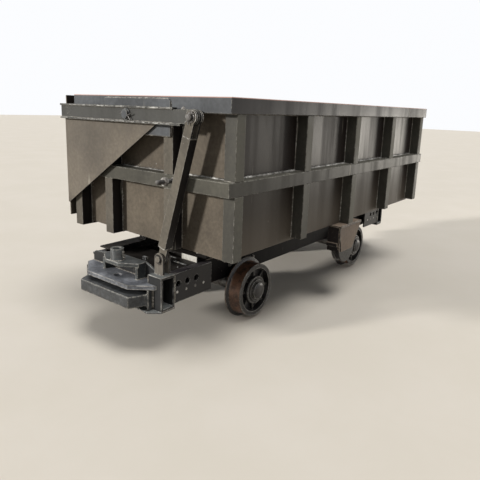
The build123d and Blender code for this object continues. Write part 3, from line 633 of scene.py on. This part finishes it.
def bead(shape, start, end, width):
    """A weld bead: a ragged rounded ridge, half sunk into the plates."""
    start, end = Vector(start), Vector(end)
    axis, u, v = across(end - start)
    length = (end - start).length
    steps = max(3, round(length / (width * 0.8)))
    wander = width * 0.07
    loops = []
    for step in range(steps + 1):
        ripple = 1.12 if step % 2 else 0.86
        taper = 0.45 if step in (0, steps) else 1.0
        reach = width / 2 * ripple * taper * DRAW.uniform(0.86, 1.16)
        off = u * DRAW.uniform(-1, 1) + v * DRAW.uniform(-1, 1)
        middle = start + axis * (length * step / steps) + off * wander
        loops.append([middle + (u * math.cos(a) + v * math.sin(a)) * reach for a in angles(7)])
    skin(shape, loops)


def bead_run(shape, points, width):
    """A bead along each stretch of a run of points."""
    for start, end in zip(points, points[1:]):
        bead(shape, start, end, width)


def drop(shape, place, axis, size):
    """One drop of weld metal stuck on a face."""
    sunk = 0.4
    turned(shape, Vector(place) - Vector(axis) * sunk, axis,
           [(size * 1.05, 0), (size * DRAW.uniform(0.85, 1.0), size * 0.45 + sunk),
            (size * 0.4, size * DRAW.uniform(0.7, 0.9) + sunk)], 6, DRAW.uniform(0, math.tau))


def spatter(shape, low, high, axis, count, size=(0.8, 2.6)):
    """Drops scattered evenly over the face between two corners, most of them small."""
    low, high = Vector(low), Vector(high)
    for _ in range(count):
        part = [DRAW.random() for _ in range(3)]
        place = Vector([low[i] + (high[i] - low[i]) * part[i] for i in range(3)])
        drop(shape, place, axis, size[0] + (size[1] - size[0]) * DRAW.random() ** 2)


def end_slab(shape, sign, low, high, lean=0.0):
    """A block between two corners that are given for the front end, its upper side smaller by lean."""
    x0, x1 = sorted((sign * low[0], sign * high[0]))
    (y0, z0), (y1, z1) = low[1:], high[1:]
    loops = []
    for z, step in ((z0, 0.0), (z1, lean)):
        loops.append([Vector(p) for p in ((x0 + step, y0 + step, z), (x1 - step, y0 + step, z),
                                          (x1 - step, y1 - step, z), (x0 + step, y1 - step, z))])
    skin(shape, loops)


def gaps_between(low, high, middles, half):
    """The stretches from low to high that the posts at the given middles leave open."""
    edges = [low, *(middle + side for middle in sorted(middles) for side in (-half, half)), high]
    return [(start, end) for start, end in zip(edges[::2], edges[1::2]) if start < end]


def wall_welds(place, posts, ends, wall, face, seam_out, seam_up, seam_width):
    """Beads round a wall's posts and bays, and the seam above its band, bright as a painted highlight of a
    lit weld, as two shapes. place makes a point from a place along the wall, one across it and a level."""
    welds, seam = bmesh.new(), bmesh.new()
    for post in posts:
        sides = (post - HALF_POST, post + HALF_POST)
        for low, high in WALL_BAYS:
            for side in sides:
                if ends[0] < side < ends[1]:
                    bead(welds, place(side, wall, low), place(side, wall, high), USUAL_BEAD)
        for side in sides:
            for z in (BAND_TOP_Z, BAND_LOW_Z, RIM_LOW_Z):
                bead(welds, place(side, wall, z), place(side, face, z), SMALL_BEAD)
    out, level = wall + seam_out, BAND_TOP_Z + seam_up
    for low, high in gaps_between(*ends, posts, HALF_POST):
        for z in (BAND_LOW_Z, RIM_LOW_Z):
            bead(welds, place(low, wall, z), place(high, wall, z), WIDE_BEAD)
        bead(seam, place(low, out, level), place(high, out, level), seam_width)
    return welds, seam


def end_wall_welds(name, sign):
    welds, seam = wall_welds(lambda along, out, z: (sign * out, along, z), END_POSTS,
                             (WALL_EDGE_Y, SIDE_WALL_Y), WALL_X, POST_X, seam_out=2, seam_up=1, seam_width=12)
    make_weld(f"end_wall_welds_{name}", "hopper", welds)
    make_weld(f"end_band_seam_{name}", "hopper", seam, "seam")
    # Painted shade: a bead in the black frame paint up the corner between the end wall and the side wall,
    # standing for the shadow in the gap there.
    corner = bmesh.new()
    x, y = sign * WALL_X, SIDE_WALL_Y - 3
    for low, high in WALL_BAYS:
        bead(corner, (x, y, low), (x, y, high), WIDE_BEAD)
    make_weld(f"corner_shadow_bead_{name}", "hopper", corner, "frame")


def side_wall_welds():
    welds, seam = wall_welds(lambda along, out, z: (along, out, z), SIDE_RIBS, (-WALL_X, WALL_X),
                             SIDE_WALL_Y, RIB_Y - 4, seam_out=3, seam_up=1.5, seam_width=14)
    make_weld("side_wall_welds", "hopper", welds)
    make_weld("side_band_seam", "hopper", seam, "seam")


def pivot_welds(name, sign):
    """The seams round a pivot plate and round its pin."""
    shape = bmesh.new()
    x, left, right, low, top = RIM_X + 0.5, -211, 270, 1072, 1243.5
    sides = at_end(sign, (x, left, top - 0.5), (x, left, low), (x, right, low), (x, right, top - 12.5))
    bead_run(shape, sides, USUAL_BEAD)
    bead_run(shape, at_end(sign, (x, left + 6, top), (x, right - 14, top)), SMALL_BEAD)
    radius = PIVOT_RADIUS + 6.5
    ring = [(PIVOT_FACE_X, radius * math.cos(a), PIVOT_Z + radius * math.sin(a)) for a in angles(16, True)]
    bead_run(shape, at_end(sign, *ring), 5)
    make_weld(f"pivot_plate_welds_{name}", "hopper", shape)


def hopper_spatter():
    """Drops beside the welds, where the photograph shows them thick."""
    shape = bmesh.new()
    low, high = 530, 800
    end_patches = [((y - 9, low), (y + 9, high), 34) for y in (-450, -175, 190, 285)]
    end_patches += [((-170, 903), (210, 925), 46), ((-170, 1150), (210, 1180), 30)]
    for sign in (1, -1):
        x = sign * WALL_X
        for first, last, count in end_patches:
            spatter(shape, (x, *first), (x, *last), (sign, 0, 0), count)
    y, out = SIDE_WALL_Y, (0, 1, 0)
    for x in SIDE_RIBS[1:]:
        spatter(shape, (x - 46, y, low), (x - 36, y, high), out, 26)
        spatter(shape, (x - 60, y, 1080), (x - 34, y, 1180), out, 22)
    spatter(shape, (480, y, 1168), (545, y, 1184), out, 14, (2, 5))
    # The seam finish makes the drops bright, wear and painted highlight in one, so that they show in shade.
    make_weld("weld_spatter_hopper", "hopper", shape, "seam")


def door_welds():
    """The seams of the door's rails and ribs, and of the wings on its ends."""
    shape = bmesh.new()
    y, half_door = DOOR_OUT_Y, SIDE_RIBS[-1] + HALF_POST
    for low, high in DOOR_RAILS:
        for z in (low + 3, high - 3):
            bead(shape, (-half_door, y, z), (half_door, y, z), SMALL_BEAD)
    for rib in SIDE_RIBS:
        for (_, low), (high, _) in zip(DOOR_RAILS, DOOR_RAILS[1:]):
            for x in (rib - HALF_POST, rib + HALF_POST):
                bead(shape, (x, y, low), (x, y, high), SMALL_BEAD)
    wing = ((WING_MIDDLE_X, y + 4, 655), (WING_MIDDLE_X, y + 4, 1120))
    for sign in (1, -1):
        bead_run(shape, at_end(sign, *wing), THIN_BEAD)
    make_weld("door_welds", "door", shape)


def arm_welds(name, sign):
    """The seams of an arm's web, and the rough cut edges of its flanges, rubbed through the paint and
    brightened as painted highlights.
    """
    shape, rubbed = bmesh.new(), bmesh.new()
    web, wing, edge = sign * ARM_OUT_X, sign * ARM_WEB_X, sign * (ARM_OUT_X + 6)
    top_end, low_end = 318, 364
    for z in (PIVOT_Z + HALF_ARM - ARM_FLANGE, PIVOT_Z - HALF_ARM + ARM_FLANGE):
        for low, high in ((-558, -26), (26, top_end)):
            bead(shape, (web, low, z), (web, high, z), 4.5)
    wing_top_z = PIVOT_Z - HALF_ARM
    for low in range(-520, 180, 100):
        bead(shape, (wing, low, wing_top_z), (wing, low + 45, wing_top_z), THIN_BEAD)
    flange_middle = HALF_ARM - ARM_FLANGE / 2
    # Painted highlight with wear: bright strips on the flanges' cut edges.
    for z, end in ((PIVOT_Z + flange_middle, top_end), (PIVOT_Z - flange_middle, low_end)):
        for low in range(-560, 300, 80):
            if DRAW.random() < 0.9:
                high = min(low + DRAW.uniform(62, 80), end)
                bead(rubbed, (edge, low, z), (edge, high, z), DRAW.uniform(6.0, 7.6))
    make_weld(f"arm_edge_highlights_{name}", "door", rubbed, "edge")
    for y, z in ((-540, 1165), (-505, 1170)):
        spatter(shape, (web, y, z - 20), (web, y + 60, z + 15), (sign, 0, 0), 8, (1, 2.4))
    make_weld(f"arm_welds_{name}", "door", shape)


def arm_bolt(name, sign):
    """A bolt end with its nut on top of an arm, above the link."""
    shape = bmesh.new()
    place, up = Vector((sign * LINK_X, 378, 1197.5)), (0, 0, 1)
    hexagon(shape, place, up, flats=17, height=8, turn=0.4, chamfered_foot=True)
    threaded(shape, place + Vector((0, 0, 7)), up, radius=5, length=6, pitch=1.5)
    make_piece(f"arm_bolt_{name}", "door", "bright", shape)


def pivot_cotter(name, sign):
    """The split pin of the door's pivot, clear of the arm's flanges."""
    shape = bmesh.new()
    cotter(shape, (sign * 1302.2, 0, PIVOT_Z), run=(0, 0.97, -0.24), pin_radius=PIVOT_RADIUS,
           wire_radius=2.5, leg=30, spread=(38, 38))
    make_piece(f"pivot_split_pin_{name}", "hopper", "steel", shape)


def link_frame(sign):
    """From a link's own frame, with Z up along it, to the cart's."""
    run = Vector((0, EYE_Y - CLEVIS[0], PIVOT_Z - CLEVIS[1]))
    tilt = math.atan2(run.y, run.z)
    return Matrix.Translation((sign * LINK_X, *CLEVIS)) @ Matrix.Rotation(-tilt, 4, "X"), run.length


def link_welds(name, matrix, length):
    """Beads round both ends of a link's tube, with a few drops."""
    shape = bmesh.new()
    low, high, half = LINK_TONGUE, length - LINK_FORK, 23.5
    for z in (low, high):
        corners = [(-half, -half, z), (half, -half, z), (half, half, z), (-half, half, z)]
        bead_run(shape, corners + corners[:1], THIN_BEAD)
    for side in (-1, 1):
        bead(shape, (8 * side, -23, low - 1), (8 * side, 23, low - 1), THIN_BEAD)
    spatter(shape, (24, -20, high - 60), (24, 20, high - 8), (1, 0, 0), 10, (0.8, 2))
    shape.transform(matrix)
    make_weld(f"link_welds_{name}", f"{name}_link", shape)


def link_pin_details(name, sign, matrix, length):
    """The washer, the rubbed end and the split pin of a link's upper pin."""
    shape = bmesh.new()
    cotter(shape, (sign * 34.5, 0, length), run=(0, -0.25, -0.97), pin_radius=PIN_RADIUS,
           wire_radius=2.6, leg=16, spread=(30, 48))
    turned(shape, (sign * 24, 0, length), (sign, 0, 0), [(24, 0), (24, 3), (22.5, 3.8)])
    turned(shape, (sign * 39.6, 0, length), (sign, 0, 0), [(14.4, 0), (14.4, 0.8), (12.6, 1.6)])
    shape.transform(matrix)
    make_piece(f"link_split_pin_{name}", f"{name}_link", "steel", shape)


def link_eye_edges(name, matrix, length):
    """The rubbed round edges of a link's fork."""
    shape, radius = bmesh.new(), 30.4
    for x in (-23.6, -14.4, 14.4, 23.6):
        arc = [(x, radius * math.sin(a), length + radius * math.cos(a))
               for a in (math.radians(-110 + 11 * k) for k in range(21))]
        wire(shape, arc, 1.3, 6)
    shape.transform(matrix)
    make_piece(f"link_eye_edges_{name}", f"{name}_link", "bright", shape)


def link_details(name, sign):
    matrix, length = link_frame(sign)
    link_welds(name, matrix, length)
    link_pin_details(name, sign, matrix, length)
    link_eye_edges(name, matrix, length)


def clevis_details(name, sign):
    """The beads at a clevis's foot, and its pin's washers and split pins."""
    welds, pins = bmesh.new(), bmesh.new()
    y, z = CLEVIS
    for side in (-1, 1):
        outer, inner = sign * (LINK_X + side * CLEVIS_OUT), sign * (LINK_X + side * CLEVIS_IN)
        low, high = y - HALF_CLEVIS, y + HALF_CLEVIS
        bead(welds, (outer, low, FRAME_TOP_Z), (outer, high, FRAME_TOP_Z), WIDE_BEAD)
        for end in (low, high):
            bead(welds, (outer, end, FRAME_TOP_Z), (inner, end, FRAME_TOP_Z), USUAL_BEAD)
        turned(pins, (outer, y, z), (side * sign, 0, 0), [(23, 0), (23, 2.4), (21.5, 3)])
        cotter(pins, (sign * (LINK_X + side * 31.5), y, z), run=(0, 0.5, -0.87), pin_radius=PIN_RADIUS,
               wire_radius=1.9, leg=12, spread=(25, 40))
    make_weld(f"clevis_welds_{name}", "underframe", welds)
    make_piece(f"clevis_split_pins_{name}", "underframe", "frame", pins)


def stop_studs():
    """Threaded studs with their nuts and washers, in place of the plain ones."""
    rods, nuts = bmesh.new(), bmesh.new()
    for sign in (1, -1):
        axis = (sign, 0, 0)
        rod_foot, nut, washer = at_end(sign, *((POST_X + step, STUD_Y, STUD_Z) for step in (-1, 51, 0)))
        threaded(rods, rod_foot, axis, radius=12, length=112.5, pitch=3.0)
        hexagon(nuts, nut, axis, flats=38, height=18, turn=0.2, chamfered_foot=True)
        turned(nuts, washer, axis, [(17, 0), (17, 5), (14, 8), (12.5, 8.2)], 24)
    threads = make_piece("stop_stud_threads", "hopper", "steel", rods, THREAD_SHARP)
    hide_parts("stop_studs")
    make_piece("stop_stud_nuts", "hopper", "bright", nuts)


def end_beam_welds(name, sign):
    """The seams of the end beam, its shelf and the coupling bridge, with drops beside them."""
    shape = bmesh.new()

    def seam(start, end, width):
        bead_run(shape, at_end(sign, start, end), width)

    back, face, low, top = BEAM_BACK_X, BEAM_FACE_X, BEAM_LOW_Z, FRAME_TOP_Z
    shelf, leg, leg_end = TOP_PLATE_Z, SHELF_X + 1, BRIDGE_LEG_X
    for left, right in ((-290, -140), (-118, 118), (140, SHELF_END_Y - 2)):
        seam((SHELF_X, left, shelf), (SHELF_X, right, shelf), WIDE_BEAD)
    for y in (-DRAFT_Y, DRAFT_Y):
        seam((back, y, 259), (back, y, top - 2), WIDE_BEAD)
        seam((back + 2, y, low), (face - 2, y, low), USUAL_BEAD)
    for side in (-1, 1):
        inner, outer = (side * y for y in BRIDGE_LEG_Y)
        seam((face, side * 240, 240), (face, side * 240, 340), 10)
        seam((face, side * 225, low), (face + 32, side * 225, low), USUAL_BEAD)
        seam((leg, outer, shelf), (leg_end, outer, shelf), USUAL_BEAD)
        seam((leg, inner, shelf), (leg_end, inner, shelf), SMALL_BEAD)
        seam((leg_end, inner, shelf), (leg_end, outer, shelf), USUAL_BEAD)
    seam((face, SHELF_END_Y + 1, shelf + 2), (face, SHELF_END_Y + 1, top - 3), SMALL_BEAD)
    seam((SHELF_X + 3, SHELF_END_Y, shelf), (face, SHELF_END_Y, shelf), SMALL_BEAD)
    seam((SHELF_X + 1, SHELF_END_Y + 1, top), (SHELF_X + 1, SHELF_END_Y + 19, top), SMALL_BEAD)
    seam((1262, 90, top), (1274, 110, top), USUAL_BEAD)
    ring = [(GUIDE_X + 34 * math.cos(a), 34 * math.sin(a), BRIDGE_TOP_Z) for a in angles(20, True)]
    bead_run(shape, at_end(sign, *ring), USUAL_BEAD)
    for x, y, z, size in ((1350, 31, 486, 8), (1352, 32, 476, 7), (1349, 32, 466, 8), (1347, 32, 457, 9)):
        drop(shape, (sign * x, y, z), (-0.2 * sign, 1, 0), size)
    side_y = DRAFT_Y + 2
    spatter(shape, (sign * 1251, side_y, 260), (sign * 1260, side_y, 400), (0, 1, 0), 14, (0.8, 2.2))
    drop(shape, (sign * 1256, side_y, 374), (0, 1, 0), 5)
    x = sign * face
    spatter(shape, (x, 236, 242), (x, 246, 330), (sign, 0, 0), 16, (1, 2.6))
    make_weld(f"end_beam_welds_{name}", "underframe", shape)


def coupling_edge_highlights(name, sign):
    """The edges of the top plate, the bridge and the end beam, rubbed bright and lit as painted highlights.
    """
    shape = bmesh.new()
    plate = [(1333, -291), (1429.5, -157.5), (1429.5, 157.5), (1351, 257.5), (1341, 265)]
    bridge = [(1341, -136.6), (1397.5, -50), (1397.5, 50), (1341, 136.6), (1290, 136.6)]
    for outline, z in ((plate, TOP_PLATE_Z - 0.8), (plate, SLOT_TOP_Z + 0.8), (bridge, BRIDGE_TOP_Z - 0.8)):
        bead_run(shape, at_end(sign, *((x, y, z) for x, y in outline)), 3.2)
    top, front, back, side = FRAME_TOP_Z - 0.6, BEAM_FACE_X - 0.6, BEAM_BACK_X + 1, DRAFT_Y + 1.4
    bead_run(shape, at_end(sign, (front, 206, top), (front, side, top), (back, side, top)), 4.5)
    bead_run(shape, at_end(sign, (front, side, 244), (front, side, top)), 3.6)
    make_weld(f"coupling_edge_highlights_{name}", "underframe", shape, "edge")


def wheel_edge_highlights(name, sign):
    """The polished edges of the wheels, brightened as painted highlights: the radius, the place along the
    axle and the thickness.
    """
    shape = bmesh.new()
    edges = ((152.5, 364.5, 1.7), (177.4, 282, 1.4), (129.5, 366.4, 1.3), (78.8, 367.3, 2.0),
             (61.6, 374.4, 1.8), (48.2, 386.6, 1.6))
    for side in (-1, 1):
        for radius, y, thick in edges:
            ring = [(sign * AXLE_X + radius * math.cos(a), side * y, AXLE_Z + radius * math.sin(a))
                    for a in angles(72)]
            wire(shape, ring, thick, 6, closed=True)
    make_weld(f"wheel_edge_highlights_{name}", f"{name}_wheelset", shape, "edge")


def cover_bars(name, sign):
    """Two thin bars and a drop of weld behind the end beam."""
    shape = bmesh.new()
    end_slab(shape, sign, (1104, 144, FRAME_TOP_Z), (1116, 242, FRAME_TOP_Z + 5), lean=1.5)
    end_slab(shape, sign, (1060, 60, FRAME_TOP_Z), (1066, 120, FRAME_TOP_Z + 3), lean=1)
    drop(shape, (sign * 1164, 232, FRAME_TOP_Z), (0, 0, 1), 6)
    make_piece(f"cover_bars_{name}", "underframe", "end_beam", shape, bevel=1.0)


def blank_tag(name, sign):
    """A pale upright plate on the frame, left blank."""
    shape = bmesh.new()
    end_slab(shape, sign, (1041, 139, FRAME_TOP_Z), (1044, 249, FRAME_TOP_Z + 30))
    make_piece(f"blank_tag_{name}", "underframe", "plate", shape, bevel=0.6)


def draft_plate_rivets(name, sign):
    """Rivets in the small holes of both draft plates."""
    shape = bmesh.new()
    for side in (-1, 1):
        for hole in range(4):
            place = (sign * (RIVET_X - RIVET_PITCH * hole), side * DRAFT_INNER_Y, RIVET_Z)
            turned(shape, place, (0, side, 0), [(6.8, 0), (6.8, 11), (5.2, 13), (2.5, 13.6)], 18)
    make_piece(f"draft_plate_rivets_{name}", "underframe", "bright", shape)


def axle_bracket_bolts():
    """Bolts on the axle brackets and on the sills beside them."""
    shape = bmesh.new()
    bolts = [(-52, 248, 13, 0.2), (52, 248, 13, 0.2), (-36, 148, 13, 0.2), (36, 148, 13, 0.2),
             (-110, 333, 12, 0.1), (110, 333, 12, 0.1)]
    for sign in (1, -1):
        for side in (-1, 1):
            for x, z, size, turn in bolts:
                place = (sign * AXLE_X + x, side * FRAME_Y, z)
                bolt_head(shape, place, (0, side, 0), size, turn * x)
    make_piece("axle_bracket_bolts", "underframe", "steel", shape)


def hinge_split_pins():
    shape = bmesh.new()
    for x in HINGE_PLACES:
        for side in (-1, 1):
            cotter(shape, (x + side * 28.5, HINGE_Y, HINGE_Z), run=(0, 0.3, -0.95), pin_radius=PIN_RADIUS,
                   wire_radius=1.6, leg=12, spread=(35, 20))
    make_piece("hinge_split_pins", "underframe", "steel", shape)


def roller_bracket_welds():
    """The seams of the lifting roller's bracket."""
    shape = bmesh.new()
    (left, right), lid, face = BRACKET_X, BRACKET_LID_Z, RIB_Y
    back, front = 540, 612
    bead(shape, (left, face, lid), (right - 2, face, lid), SMALL_BEAD)
    bead(shape, (left, face - 1, WALL_LOW_Z), (right - 2, face - 1, WALL_LOW_Z), THIN_BEAD)
    bead(shape, (right, back, lid), (right, front, lid), USUAL_BEAD)
    bead(shape, (right, front, lid), (right, front, 360), SMALL_BEAD)
    bead(shape, (right - 4, back, lid), (right - 4, back, 352), SMALL_BEAD)
    for z in (380, 402):
        bead(shape, (right, back + 5, z), (right, front - 7, z), THIN_BEAD)
    spatter(shape, (-130, face, 470), (130, face, 498), (0, 1, 0), 26, (0.8, 2.2))
    spatter(shape, (right, back + 5, 420), (right, front - 7, 495), (1, 0, 0), 14, (0.8, 2.0))
    make_weld("roller_bracket_welds", "hopper", shape, "weld_dark")


def sill_welds():
    """Short seams and drops on the sills, and the seams of the rest pads."""
    shape = bmesh.new()
    for side in (-1, 1):
        y, seam_y, out = side * FRAME_Y, side * (FRAME_Y - 2), (0, side, 0)
        for sign in (1, -1):
            axle = sign * AXLE_X
            bead(shape, (axle - 74, seam_y, 265), (axle + 74, seam_y, 265), USUAL_BEAD)
            drop(shape, (sign * 441, y, 365), out, 5)
            spatter(shape, (sign * 500, y, 275), (sign * 900, y, 395), out, 12, (0.8, 2.2))
    y = FRAME_Y + 1
    for x in REST_PADS:
        bead(shape, (x - 30, y, FRAME_TOP_Z), (x + 30, y, FRAME_TOP_Z), USUAL_BEAD)
    make_weld("sill_welds", "underframe", shape, "weld_dark")


def make_pieces():
    """The pieces of each end, and then the ones that the cart has once."""
    for name, sign in ENDS:
        for make in (end_wall_welds, pivot_welds, arm_welds, arm_bolt, pivot_cotter, link_details,
                     clevis_details, end_beam_welds, cover_bars, blank_tag, draft_plate_rivets,
                     coupling_edge_highlights, wheel_edge_highlights):
            make(name, sign)
    for make in (side_wall_welds, hopper_spatter, door_welds, stop_studs, axle_bracket_bolts,
                 hinge_split_pins, roller_bracket_welds, sill_welds):
        make()


# Floor, backdrop and light
FLOOR_HALF = 40
WORLD_LEVEL = 0.23


def ray_is_seen(tree):
    """1 for rays from the camera and for the ones that a shiny or clear surface sends on."""
    rays = tree.nodes.new("ShaderNodeLightPath").outputs
    seen = rays["Is Camera Ray"]
    for kind in ("Is Glossy Ray", "Is Transmission Ray"):
        either = tree.nodes.new("ShaderNodeMath")
        either.operation = "MAXIMUM"
        tree.links.new(seen, either.inputs[0])
        tree.links.new(rays[kind], either.inputs[1])
        seen = either.outputs[0]
    return seen


def make_floor():
    """A pale floor, darker in the light that it sends back to the cart than where it is seen."""
    low, high = -FLOOR_HALF, FLOOR_HALF
    mesh = bpy.data.meshes.new("floor")
    mesh.from_pydata([(low, low, 0), (high, low, 0), (high, high, 0), (low, high, 0)], [], [(0, 1, 2, 3)])
    floor = bpy.data.objects.new("floor", mesh)
    COLLECTION.objects.link(floor)
    n = Nodes("floor")
    cloud = n.ramp(n.noise(1.6, 4, 0.6), 0.35, 0.7)
    color = n.mix(cloud, rgb(206, 200, 189), rgb(209, 203, 193))
    color = n.mix(ray_is_seen(n.tree), rgb(128, 122, 113), color)
    floor.data.materials.append(n.finish(color, 0.8, normal=n.bump(n.noise(60, 4, 0.6), 0.0015, 0.15)))


def make_world():
    """A world that is white where it is seen and lights the cart at WORLD_LEVEL."""
    world = bpy.data.worlds.new("world")
    bpy.context.scene.world = world
    world.use_nodes = True
    tree = world.node_tree
    background = tree.nodes["Background"]
    background.inputs["Color"].default_value = (0.97, 0.98, 1.0, 1.0)
    level = tree.nodes.new("ShaderNodeMapRange")
    level.inputs["To Min"].default_value = WORLD_LEVEL
    level.inputs["To Max"].default_value = 1.0
    tree.links.new(ray_is_seen(tree), level.inputs["Value"])
    tree.links.new(level.outputs["Result"], background.inputs["Strength"])


def aim(light, place, target):
    COLLECTION.objects.link(light)
    light.location = place
    light.rotation_mode = "QUATERNION"
    light.rotation_quaternion = (Vector(target) - Vector(place)).to_track_quat("-Z", "Y")


def add_sun(name, place, energy, angle, color):
    sun = bpy.data.lights.new(name, "SUN")
    sun.energy = energy
    sun.angle = math.radians(angle)
    sun.color = color
    aim(bpy.data.objects.new(name, sun), place, (0, 0, 0))


def add_softbox():
    """A lamp behind the cart that glances off its long side and isn't seen itself."""
    box = bpy.data.lights.new("softbox", "AREA")
    box.shape = "RECTANGLE"
    box.size, box.size_y = 3.2, 1.1
    box.spread = math.radians(50)
    box.energy = 12
    box.color = (1.0, 0.94, 0.84)
    softbox = bpy.data.objects.new("softbox", box)
    aim(softbox, (-7.0, 3.3, 0.62), (0.0, 0.5, 0.62))
    softbox.visible_camera = False


def make_lights():
    """A low sun on the front end, a wide one overhead, and the softbox."""
    add_sun("key", (6.7, -3.7, 2.4), energy=3.0, angle=6, color=(1.0, 0.97, 0.93))
    add_sun("overhead", (0.5, 2.5, 9.0), energy=2.05, angle=30, color=(1.0, 0.98, 0.95))
    add_softbox()


make_camera()
make_floor()
make_world()
make_lights()
bpy.context.scene.view_settings.view_transform = "Standard"
MATERIALS = make_materials()
dress_nodes()
make_pieces()

bpy.context.view_layer.update()
